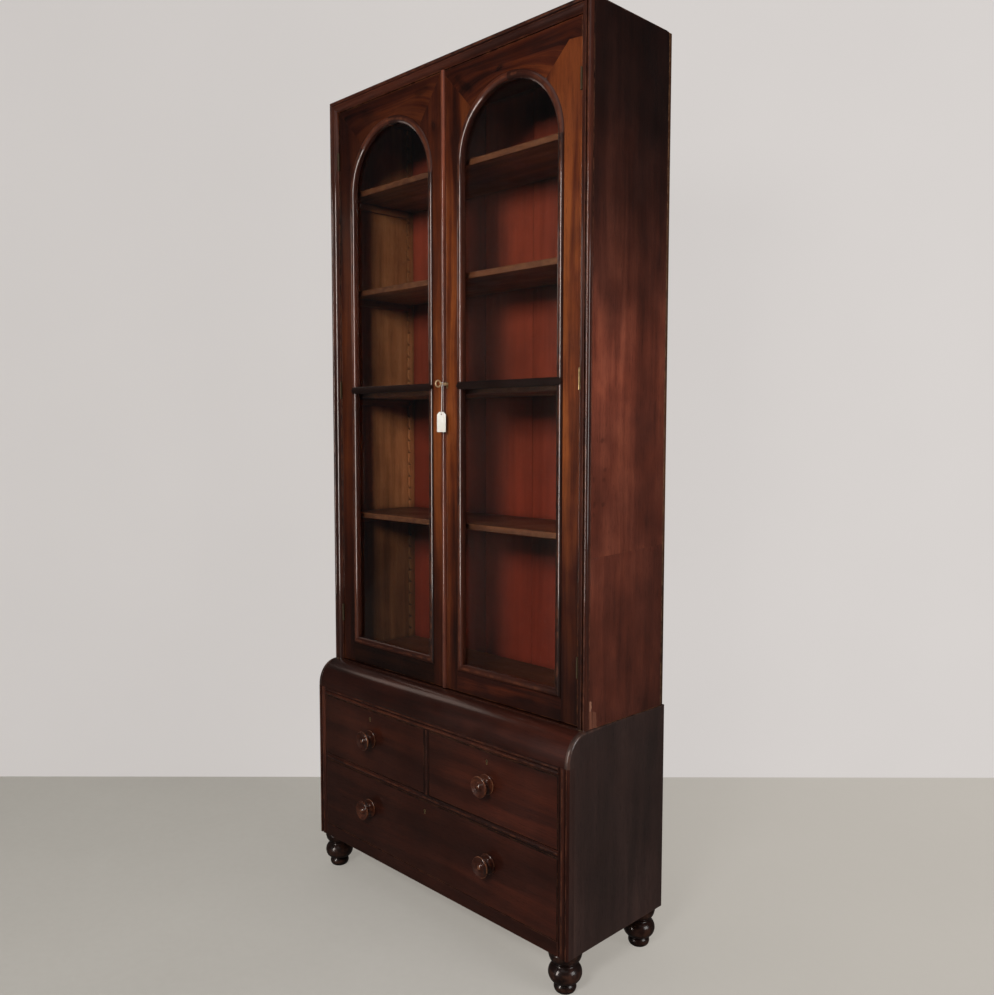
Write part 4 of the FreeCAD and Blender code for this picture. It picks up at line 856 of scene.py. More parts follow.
def case_frame():
    p = Piece("face_frame")
    for sx in (-1, 1):
        a, b = sorted((sx * X_OPEN, sx * (XU - 0.95)))
        # stiles, let in at the hinges
        z = [Z_JOINT]
        for h in HINGE_Z:
            z += [h - HINGE_H / 2, h + HINGE_H / 2]
        z.append(H_TOTAL)
        pts = []
        for k, zz in enumerate(z):
            ins = 1.6
            if 0 < k < len(z) - 1:
                pts += [(X_OPEN, zz), (X_OPEN + ins, zz)] if k % 2 else [(X_OPEN + ins, zz), (X_OPEN, zz)]
            else:
                pts.append((X_OPEN, zz))
        pts += [(XU - 0.95, H_TOTAL), (XU - 0.95, Z_JOINT)]
        w = [0.12] * len(pts)
        fn = lambda a, b, c, s=sx: (s * a, c, b)
        p.add(*slab(pts, Y_DOOR, Y_FACEB, w, fn), grain="z", seed=51 + sx)
        a, b = sorted((sx * (X_OPEN + 1.4), sx * (X_OPEN + 2.0)))
    p.add(*rbox(-X_OPEN, X_OPEN, Y_DOOR, Y_FACEB, Z_OPEN, H_TOTAL, 0.5), grain="x", seed=57)
    p.make("root", "case_wood", [W_MOULD], ["case_face_frame"])
    m = Piece("frame_moulding")
    z = [Z_JOINT]
    for h in HINGE_Z:
        z += [h - HINGE_H / 2 - 0.4, h + HINGE_H / 2 + 0.4]
    z.append(H_TOTAL)
    short = cut_profile(MP, 29.25)
    for sx in (-1, 1):
        for k in range(len(z) - 1):
            pr = short if k % 2 else MP
            last = k == len(z) - 2
            v, f, ew, gc = run(pr, (sx * XU, z[k]), (sx * XU, z[k + 1]), (-sx, 0), (-sx, -1 if last else 0), Y_DOOR, wear=mp_wear)
            m.add(v, f, ew, gc=gc, seed=61 + sx, tint=(0.9, 0.25, 1.0))
    v, f, ew, gc = run(MP, (-XU, H_TOTAL), (XU, H_TOTAL), (1, -1), (-1, -1), Y_DOOR, wear=mp_wear)
    m.add(v, f, ew, gc=gc, seed=64, tint=(0.8, 0.35, 1.0))
    m.make("root", "moulding_wood", [W_MOULD], ["frame_moulding_sides", "frame_moulding_top"])


def case_boards():
    p = Piece("case_top_and_floor")
    p.add(*rbox(-X_IN_UP, X_IN_UP, Y_FACEB, YB_UP - T_BACK, H_TOTAL - T_TOP, H_TOTAL, 0.8), grain="x", seed=71, tint=(0.8, 0, 1))
    # the floor, with the bored hole for the left door's bottom bolt
    bx, by, hole, nh = -32.0, YB_DOOR + 8.0, 3.5, 32
    sq = by - Y_FACEB
    for x0, x1, y0 in ((-X_IN_UP, bx - sq, Y_FACEB), (bx + sq, X_IN_UP, Y_FACEB), (bx - sq, bx + sq, by + sq)):
        p.add(*rbox(x0, x1, y0, YB_UP - T_BACK, Z_JOINT, Z_FLOOR_UP, 0.1), grain="x", seed=72, tint=(0.36, 0.5, 1))
    v, f = [], []
    for z in (Z_JOINT, Z_FLOOR_UP):
        for outer in (True, False):
            for k in range(nh):
                a = 2.0 * np.pi * (k + 0.5) / nh
                ca, sa = np.cos(a), np.sin(a)
                r = sq / max(abs(ca), abs(sa)) if outer else hole
                v.append((bx + r * ca, by + r * sa, z))
    for k in range(nh):
        n1 = (k + 1) % nh
        f.append((2 * nh + k, 2 * nh + n1, 3 * nh + n1, 3 * nh + k))
        f.append((k, nh + k, nh + n1, n1))
        f.append((nh + k, 3 * nh + k, 3 * nh + n1, nh + n1))
        f.append((k, n1, 2 * nh + n1, 2 * nh + k))
    p.add(np.array(v), f, np.zeros(len(v)), grain="x", seed=72, tint=(0.36, 0.5, 1))
    p.add(*rbox(-X_OPEN, X_OPEN, YB_DOOR + 0.5, Y_FACEB, Z_JOINT, Z_FLOOR_UP, 0.8), grain="x", seed=73, tint=(0.14, 0.6, 1))
    p.make("root", "inner_wood", [W_INNER], ["upper_top_board", "upper_bottom_board"])
    b = Piece("case_back_boards")
    xs = (-X_IN_UP, -327.0, -137.0, 53.0, 243.0, X_IN_UP)
    for k in range(5):
        g0, g1 = (0.0 if k == 0 else 0.4), (0.0 if k == 4 else 0.4)
        v, f, ew = rbox(xs[k] + g0, xs[k + 1] - g1, YB_UP - T_BACK, YB_UP, Z_JOINT, H_TOTAL, 1.0)
        fm = [0 if np.mean([v[i][1] for i in q]) < YB_UP - T_BACK + 1.2 else 1 for q in f]
        # painted shade: the second board from the left is tinted far darker, standing in for the shadow the meeting
        # stiles cast on it
        b.add(v, f, ew, grain="z", seed=81 + k, tint=((0.34 if k == 1 else 1.0) + 0.10 * (rnd(k, 7) - 0.5), 0.0, 1.0))
        b.mi[-len(f):] = fm
    b.make("root", "back_wood", [W_BACK, W_ROUGH], ["upper_back_boards"])


def shelves():
    p = Piece("shelf_boards")
    sx, sn, sf, sb = X_IN_UP - 1.0, X_IN_UP - 8.4, -27.6, YB_UP - T_BACK - 20.4
    half = [(sn, Y_SHELF0), (sn, sf), (sx, sf), (sx, sb), (sn, sb), (sn, YB_UP - T_BACK - 2)]
    out = half + [(-a, b) for a, b in half[::-1]]
    w = [0.15, 0.15, 0.15, 0.15, 0.15, 0.8, 0.15, 0.15, 0.15, 0.15, 0.15, 1.6]
    for k, z in enumerate(SHELF_TOPS):
        v, f, ew = slab(out, z, z - SHELF_T, w, lambda a, b, c: (a, b, c), e=3.0)
        p.add(v, f, ew, grain="x", seed=91 + k, tint=(1.0, 0.0, 1.0))
    p.make("root", "shelf_wood", [W_SHELF], ["shelves"])
    q = Piece("shelf_supports")
    tooth, z1 = 38.0, H_TOTAL - T_TOP
    ly0, ly1, ly2, ly3 = -52.0, -28.0, YB_UP - T_BACK - 20.0, YB_UP - T_BACK
    for sx in (-1, 1):
        for (y0, y1, flip) in ((ly0, ly1, False), (ly2, ly3, True)):
            a, b = (y0, y1) if not flip else (y1, y0)
            pts, z = [(a, Z_FLOOR_UP), (b, Z_FLOOR_UP)], Z_FLOOR_UP
            c = 9.0 if not flip else -9.0
            while z + tooth < z1 - 4:
                pts += [(b, z + tooth - 13.0), (b - c, z + tooth - 12.4), (b, z + tooth)]
                z += tooth
            pts += [(b, z1), (a, z1)]
            fn = lambda a, b, c, s=sx: (s * c, a, b)
            q.add(*slab(pts, X_IN_UP - 8.0, X_IN_UP, 0.25, fn), grain="z", seed=101 + sx)
    for k, z in enumerate(SHELF_TOPS):
        for sx in (-1, 1):
            a, b = sorted((sx * X_IN_UP, sx * (X_IN_UP - 9.0)))
            q.add(*rbox(a, b, ly1 + 0.3, ly2 - 0.3, z - SHELF_T - 20.0, z - SHELF_T, 1.0), grain="y", seed=111 + k)
    q.make("root", "inner_wood", [W_INNER], ["shelf_ladders", "shelf_bearers"])


# ------------------------------------------------------------------ doors
SEC = profile([(0.0, -MOULD_D), (0.0, 0.2), ("arc", (9.6, 4.2), (19.2, 0.2)), (20.0, -0.8), (20.0, -GLASS_D), (8.0, -GLASS_D),
               (8.0, -MOULD_D)], 14)
BEAD = [(8.2, -GLASS_D - GLASS_T - 0.1), (8.2, -MOULD_D + 0.6), (13.5, -MOULD_D + 0.6), (19.0, -GLASS_D - GLASS_T - 0.1)]
ASTR = profile([(0.0, 0.0), (0.0, 1.0), ("arc", (7.0, 7.0), (14.0, 1.0)), (14.0, 0.0)], 16)


def sec_wear(s, d):
    return max(0.0, min(1.0, (d - 3.3) / 0.8))


def door(sx, nm):
    cx, R = sx * PANE_CX, PANE_R
    hin, mee = sx * X_EDGE, MEET[sx]
    fn = XZ
    ph, pm = math.radians(47.4), math.radians(45.2)

    def arch(a0, a1, n):
        """Points of the arch; 0 degrees is on the hinge side."""
        return [(cx + sx * R * math.cos(a0 + (a1 - a0) * k / n), Z_SPRING + R * math.sin(a0 + (a1 - a0) * k / n)) for k in range(n + 1)]
    p = Piece("door_%s_frame" % nm)
    # hinge stile
    pts, w = [(hin, Z_D0)], [0.9]
    for h in HINGE_Z:
        pts += [(hin, h - 25), (hin - sx * 1.6, h - 25), (hin - sx * 1.6, h + 25), (hin, h + 25)]
        w += [0.12, 0.12, 0.12, 0.9]
    tip = [(hin, 2205.0), (426.0, 2209.0)] if sx > 0 else [(hin, Z_D1)]
    pts += tip + arch(ph, 0.0, 14) + [(cx + sx * R, Z_D0)]
    w += [0.12] * (15 + len(tip)) + [0.9]
    p.add(*slab(pts, Y_DOOR, YB_DOOR, w, fn), grain="z", seed=121 + sx, tint=(1.12, -0.0, 1.0) if sx > 0 else (0.72, 0.15, 0.9))
    # meeting stile
    am = math.pi - pm
    pts = [(mee, Z_D0), (mee, Z_D1)] + arch(am, math.pi, 14) + [(cx - sx * R, Z_D0)]
    w = [0.9] + [0.12] * 16 + [0.9]
    p.add(*slab(pts, Y_DOOR, YB_DOOR, w, fn), grain="z", seed=126 + sx, tint=(0.92, 0.05, 1.0))
    # arched top rail, its veneer laid across
    pts = [(mee, Z_D1), (hin, Z_D1)] + (tip if sx > 0 else []) + arch(ph, am, 44)
    w = [0.9] + ([0.9] if sx > 0 else [0.12]) + [0.12] * (len(pts) - 2)

    def flame(v):
        x, z = (v[:, 0] - cx) * sx, v[:, 2] - Z_SPRING
        a = np.arctan2(z + 160.0, x)
        r = np.hypot(x, (z + 160.0))
        return np.stack([r * 0.9, v[:, 1], a * 260.0], 1)
    v, f, ew = slab(pts, Y_DOOR, YB_DOOR, w, fn)
    p.add(v, f, ew, grain=flame, seed=131 + sx, tint=(0.86, 0.16, 1.25) if sx > 0 else (0.66, 0.20, 1.25))
    # bottom rail
    a, b = sorted((cx - R, cx + R))
    v, f, ew = slab([(a, Z_D0), (b, Z_D0), (b, Z_PANE0), (a, Z_PANE0)], Y_DOOR, YB_DOOR, [0.9, 0.12, 0.12, 0.12], fn)
    p.add(v, f, ew, grain="x", seed=137 + sx, tint=(1.95, 0.0, 1.2) if sx > 0 else (0.19, 0.1, 1.0))
    p.make("door_" + nm, "door_wood", [W_DOOR], ["door_%s_stiles" % nm, "door_%s_top_rail" % nm, "door_%s_bottom_rail" % nm])
    # glazing moulding
    m = Piece("door_%s_moulding" % nm)
    k = 0
    for sec, wr, brk in ((SEC, sec_wear, True), (BEAD, None, False)):
        for sg in (-1, 1):
            x = cx + sg * R
            if brk:
                parts = (((x, Z_PANE0), (x, Z_BAR), (-sg, 1), (-sg, -0.4)), ((x, Z_BAR), (x, Z_SPRING), (-sg, 0.4), (-sg, 0)))
            else:
                parts = (((x, Z_PANE0), (x, Z_SPRING), (-sg, 1), (-sg, 0)),)
            for a, b, m0, m1 in parts:
                v, f, ew, gc = run(sec, a, b, m0, m1, Y_DOOR, wear=wr)
                m.add(v, f, ew, gc=gc, seed=141 + k, tint=(0.85 + 0.2 * rnd(k, 3), 0.3, 1.0))
                k += 1
        v, f, ew, gc = run(sec, (cx - R, Z_PANE0), (cx + R, Z_PANE0), (1, 1), (-1, 1), Y_DOOR, wear=wr)
        m.add(v, f, ew, gc=gc, seed=151 + k, tint=(0.7, 0.3, 1.0))
        for q in range(4):
            v, f, ew, gc = run(sec, None, None, None, None, Y_DOOR, n=16, arc=(cx, Z_SPRING, R, 45.0 * q, 45.0 * (q + 1)), wear=wr)
            m.add(v, f, ew, gc=gc, seed=161 + k + q, tint=(0.9 + 0.15 * rnd(q + k, 4), 0.3, 1.0))
        k += 7
    # the bar, its ends pointed over the moulding
    bs = profile([(-BAR_H, -GLASS_D), (-BAR_H, 3.3), ("arc", (-BAR_H + 0.26, 4.0), (-BAR_H + 0.9, 4.3)), ("arc", (0.0, 5.4), (BAR_H - 0.9, 4.3)),
                  ("arc", (BAR_H - 0.26, 4.0), (BAR_H, 3.3)), (BAR_H, -GLASS_D)], 14)
    v = []
    for sg in (-1, 1):
        for t, d in bs:
            v.append((cx + sg * (R - min(1.0, abs(t) / BAR_H) * 7.5), Y_DOOR - d, Z_BAR + t))
    n = len(bs)
    f = [(i, (i + 1) % n, n + (i + 1) % n, n + i) for i in range(n)]
    # the pointed ends close along their own outline
    for o in (0, n):
        for i in range(1, n - 1):
            f.append((o, o + i, o + i + 1) if o else (o, o + i + 1, o + i))
    v = np.array(v)
    if vol(v, f) < 0:
        f = [q[::-1] for q in f]
    m.add(v, f, np.zeros(2 * n), grain="x", seed=171 + sx, tint=(0.30, 0.1, 0.7))
    m.add(*rbox(cx - R + 8.0, cx + R - 8.0, Y_DOOR + GLASS_D, Y_DOOR + MOULD_D - 0.6, Z_BAR - 1.5, Z_BAR + 1.5, 0.3), grain="x", seed=173)
    m.make("door_" + nm, "moulding_wood", [W_MOULD], ["door_%s_glazing_moulding" % nm])
    # glass
    gr, y0, y1 = R - 8.5, Y_DOOR + GLASS_D, Y_DOOR + GLASS_D + GLASS_T
    for part, pts in (("lower", [(cx - gr, Z_PANE0 + 8.5), (cx + gr, Z_PANE0 + 8.5), (cx + gr, Z_BAR - 2.0), (cx - gr, Z_BAR - 2.0)]),
                      ("upper", [(cx - gr, Z_BAR + 2.0), (cx + gr, Z_BAR + 2.0)]
                       + [(cx + gr * math.cos(math.pi * k / 60), Z_SPRING + gr * math.sin(math.pi * k / 60)) for k in range(61)])):
        gp = Piece("door_%s_glass_%s" % (nm, part))
        v, f, ew = slab(pts, y0, y1, 0.25, fn, e=1.0)
        gp.add(v, f)
        gp.make("door_" + nm, "pane_glass", [GLASS], ["door_%s_panes" % nm])


def astragal():
    p = Piece("meeting_bead")
    v, f, ew = extrude(ASTR, lambda s, d, z: (MEET[1] + s, Y_DOOR - d, z), Z_D0, Z_D1, wear=lambda s, d: 1.0 if d > 6.2 else (0.3 if d > 5.0 else 0.0))
    p.add(v, f, ew, grain="z", seed=181, tint=(3.3, 0.12, 1.0))
    p.make("door_right", "moulding_wood", [W_MOULD], ["astragal"])


# ------------------------------------------------------------------ small metalwork
def screw(p, c, n, r=2.2, turn=20.0, h=0.35):
    """Slotted screw head at c, facing along n, as two half discs over a lower floor."""
    n = Vector(n).normalized()
    a = n.orthogonal().normalized()
    a.rotate(Matrix.Rotation(math.radians(turn), 3, n))
    b = n.cross(a)
    c = Vector(c)
    for sg in (-1, 1):
        pts = []
        lo = 0.16 * r
        t0 = math.asin(lo / r)
        for k in range(13):
            t = t0 + (math.pi - 2 * t0) * k / 12
            pts.append((r * math.cos(t), sg * r * math.sin(t)))
        fn = lambda u, w, d: tuple(c + a * u + b * w + n * d)
        v, f, ew = slab(pts, h, -0.2, 0.12 * r, fn, e=0.15 * r)
        p.add(v, f, ew)
    ring = [(r * 0.97 * math.cos(2 * math.pi * k / 20), r * 0.97 * math.sin(2 * math.pi * k / 20)) for k in range(20)]
    fn = lambda u, w, d: tuple(c + a * u + b * w + n * d)
    v, f, ew = slab(ring, h - 0.45 * r * 0.5, -0.3, 0.05, fn, e=0.1)
    p.add(v, f, ew)


def metalwork():
    for nm, mat in (("hinge_case_leaves", HINGE), ("door_left_hinge_leaves", HINGE), ("door_right_hinge_leaves", HINGE),
                    ("door_lock", BRASS), ("lock_bolt", BRASS), ("key", KEYM), ("door_left_bolt_plates", BRASS),
                    ("door_left_bolt_bottom", BRASS), ("door_left_bolt_top", BRASS), ("drawer_left_lock", BRASS),
                    ("drawer_right_lock", BRASS), ("drawer_long_lock", BRASS)):
        o = frame["nodes"][nm]
        o.data.materials.clear()
        o.data.materials.append(mat)
    for nm, mat in (("drawer_runners", W_ROUGH_CAD), ("dust_board", W_ROUGH_X)):
        o = frame["nodes"][nm]
        o.data.materials.clear()
        o.data.materials.append(mat)
    # hinge screws
    y = Y_DOOR + 11.0
    case, dl, dr = Piece("hinge_screws_case"), Piece("hinge_screws_door_left"), Piece("hinge_screws_door_right")
    k = 0
    for hz in HINGE_Z:
        for dz in (-17.0, 0.0, 17.0):
            for sx in (-1, 1):
                k += 1
                screw(case, (sx * (X_OPEN + 0.1), y, hz + dz), (-sx, 0, 0), 2.3, 37.0 * k, 0.1)
                screw(dl if sx < 0 else dr, (sx * (X_EDGE - 0.1), y, hz + dz), (sx, 0, 0), 2.3, 53.0 * k, 0.1)
    case.make("root", "hinge_metal", [HINGE])
    dl.make("door_left", "hinge_metal", [HINGE])
    dr.make("door_right", "hinge_metal", [HINGE])
    # lock and bolt plate screws
    p = Piece("lock_screws")
    for a, b in ((-3.0, -20.0), (23.0, -20.0), (-3.0, 24.0), (23.0, 24.0)):
        screw(p, (KEY_X + a - 1.0, YB_DOOR + 11.5, KEY_Z + b), (0, 1, 0), 1.9, 31 * a + b, 0.3)
    p.make("door_right", "brass", [BRASS])
    p = Piece("bolt_plate_screws")
    for z0, z1 in ((Z_FLOOR_UP + 6.0, Z_FLOOR_UP + 86.0), (H_TOTAL - T_TOP - 86.0, H_TOTAL - T_TOP - 6.0)):
        for zc in (z0 + 3.2, z1 - 3.2, z0 + 22.0, z1 - 22.0):
            for dx in (-6.0, 6.0):
                if abs(zc - z0) > 10 and abs(zc - z1) > 10 or dx > 0:
                    screw(p, (-32.0 + (dx if abs(zc - (z0 + z1) / 2) < 30 else 0.0), YB_DOOR + 1.6, zc), (0, 1, 0), 1.5, 17 * zc + dx, 0.2)
    p.make("door_left", "brass", [BRASS])
    # painted shade: the keyholes are not cut, and a near-black plug in each stands for the shade inside the hole
    def hole(name, body, x, z, y0, r, w, drop):
        h = Piece(name)
        pts = [(x + w / 2, z - drop), (x + w / 2, z - math.sqrt(r * r - w * w / 4))]
        a0, a1 = math.asin(-math.sqrt(r * r - w * w / 4) / r), math.pi - math.asin(-math.sqrt(r * r - w * w / 4) / r)
        pts += [(x + r * math.cos(a0 + (a1 - a0) * k / 20), z + r * math.sin(a0 + (a1 - a0) * k / 20)) for k in range(1, 20)]
        pts += [(x - w / 2, z - math.sqrt(r * r - w * w / 4)), (x - w / 2, z - drop)]
        h.add(*slab(pts, y0, y0 + 1.5, 0.05, XZ, e=0.1))
        h.make(body, "iron", [DARK])
    hole("keyhole_dark_left", "drawer_left", -246.5, 508.0, Y_DRW - 0.06, 2.4, 2.0, 7.4)
    hole("keyhole_dark_right", "drawer_right", 230.5, 508.0, Y_DRW - 0.06, 2.4, 2.0, 7.4)
    hole("keyhole_dark_long", "drawer_long", -8.0, 310.0, Y_DRW - 0.06, 2.4, 2.0, 7.4)
    hole("keyhole_dark_door", "door_right", KEY_X, KEY_Z, Y_DOOR - 0.06, 3.2, 2.9, 9.6)


# ------------------------------------------------------------------ key tag on its string
KNOT_Z = KEY_Z - 0.25 - 3.9 - 0.75 - 2.02
ROUTE = [(0.0085, -0.115, (KNOT_Z - 1.85) * S), (0.0094, -0.1155, (KNOT_Z - 20.0) * S), (0.0076, -0.1146, (KNOT_Z - 42.0) * S),
         (0.0069, -0.115, 1.376)]


def torus(c, R, r, fn, n=40, m=12, sq=1.0):
    """Ring; fn(u, v, w) gives a point from in-plane u, v and out-of-plane w. sq squeezes u."""
    v = [fn((R + r * math.cos(b)) * math.cos(a) * sq, (R + r * math.cos(b)) * math.sin(a), r * math.sin(b))
         for a in [2 * math.pi * i / n for i in range(n)] for b in [2 * math.pi * j / m for j in range(m)]]
    f = [(i * m + j, i * m + (j + 1) % m, ((i + 1) % n) * m + (j + 1) % m, ((i + 1) % n) * m + j) for i in range(n) for j in range(m)]
    v = np.array(v) + np.array(c)
    if vol(v, f) < 0:
        f = [q[::-1] for q in f]
    return v, f


def key_tag():
    x, y = KEY_X, -115.0
    lp = Piece("string_loop_ring")
    lp.add(*torus((x, y, KEY_Z - 0.25), 3.9, 0.75, lambda u, v, w: (u, w, v)))
    for k in range(3):                       # the knot: three crossed turns on a core
        t = math.radians(60 * k + 15)
        lp.add(*torus((x, y, KNOT_Z), 1.15, 0.72, lambda u, v, w, t=t: (u * math.cos(t) - w * math.sin(t), u * math.sin(t) + w * math.cos(t), v), 24, 10))
    lp.add(*torus((x, y, KNOT_Z - 0.1), 1.2, 0.68, lambda u, v, w: (u, v, w), 24, 10))
    loop = lp.make("key_tag", "cotton", [COTTON], ["string_loop"], weighted=False)
    cu = bpy.data.curves.new("tag_string", "CURVE")
    cu.dimensions = "3D"
    sp = cu.splines.new("NURBS")
    sp.points.add(len(ROUTE) - 1)
    for q, c in zip(sp.points, ROUTE):
        q.co = (*c, 1.0)
    sp.order_u = 3
    sp.use_endpoint_u = True
    sp.resolution_u = 16
    cu.bevel_depth = 0.0009
    cu.bevel_resolution = 4
    cu.use_fill_caps = True
    cu.materials.append(COTTON)
    so = bpy.data.objects.new("tag_string", cu)
    bpy.context.scene.collection.objects.link(so)
    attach(so, "key_tag")
    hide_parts("string")
    # the tag, in two halves either side of its hole
    W, H, T, tc = 27.0, 53.0, 0.8, 7.0
    tx, ty, tz = 6.9, -115.0, 1376.0
    c, s = math.cos(math.radians(16.0)), math.sin(math.radians(16.0))
    fn = lambda a, b, d: (tx + a * c - d * s, ty + a * s + d * c, tz + b)
    tg = Piece("blank_tag")
    for sg in (-1, 1):
        pts = [(0.0, -H), (sg * (W / 2 - 1.5), -H), (sg * (W / 2 - 0.4), -H + 0.4), (sg * W / 2, -H + 1.5), (sg * W / 2, -tc),
               (sg * (W / 2 - tc), 0.0), (0.0, 0.0), (0.0, -3.8)]
        pts += [(sg * 2.2 * math.sin(math.pi * k / 12), -6.0 + 2.2 * math.cos(math.pi * k / 12)) for k in range(1, 12)] + [(0.0, -8.2)]
        w = [0.18] * 6 + [0.02] + [0.05] * 12 + [0.02]
        v, f, ew = slab(pts, -T / 2, T / 2, w, fn, e=0.9)
        edge = np.clip(1.0 - np.minimum(np.abs(v[:, 2] - (tz - H)), np.abs(v[:, 2] - tz)) / 3.0, 0, 1)
        tg.add(v, f, edge)
    # folded reinforcement ring round the hole
    for d0 in (-T / 2 - 0.12, T / 2 + 0.12):
        n = 32
        ring = [(2.2 * math.cos(2 * math.pi * k / n), -6.0 + 2.2 * math.sin(2 * math.pi * k / n)) for k in range(n)]
        outr = [(4.6 * math.cos(2 * math.pi * k / n), -6.0 + 4.6 * math.sin(2 * math.pi * k / n)) for k in range(n)]
        v = [fn(a, b, d) for d in (d0, 0.0) for a, b in ring + outr]
        f = []
        for k in range(n):
            j = (k + 1) % n
            f += [(k, j, n + j, n + k), (n + k, n + j, 3 * n + j, 3 * n + k), (k, 2 * n + k, 2 * n + j, j)]
        tg.add(v, [q if d0 < 0 else q[::-1] for q in f], np.full(4 * n, 0.2))
    tag = tg.make("key_tag", "card", [CARD], ["tag"], weighted=False)
    # the string's end, tied through the hole
    tie = Piece("tag_tie")
    tie.add(*torus((tx, ty, tz - 2.6), 3.5, 0.62, lambda u, v, w: (-u * s * 0.42 + w * c, u * c * 0.42 + w * s, v), 36, 10))
    tie.add(*torus((tx, ty, tz + 0.9), 0.95, 0.62, lambda u, v, w: (u, v, w), 20, 8))
    tie_ob = tie.make("key_tag", "cotton", [COTTON], weighted=False)


# ------------------------------------------------------------------ lower case
def ellipse(a, b, n=20):
    cy, cz = YF_LOW + ELL_A, Z_JOINT - ELL_B
    return [(cy - a * math.cos(math.pi / 2 * i / n), cz + b * math.sin(math.pi / 2 * i / n)) for i in range(n + 1)]


SP = profile([(0.0, -RAIL_D), (0.0, -5.0), ("arc", (5.0 - 5.0 * math.cos(math.radians(45)), -5.0 + 5.0 * math.sin(math.radians(45))), (5.0, 0.0)),
              ("arc", (7.4, -0.3), (9.4, -1.2)), (10.0, -3.6), (11.6, -3.6), (12.2, -2.4), ("arc", (19.8, -0.05), (27.6, -2.6)),
              (28.2, -3.4), (28.8, -2.0), (STILE_W, -2.0), (STILE_W, -RAIL_D)], 7)


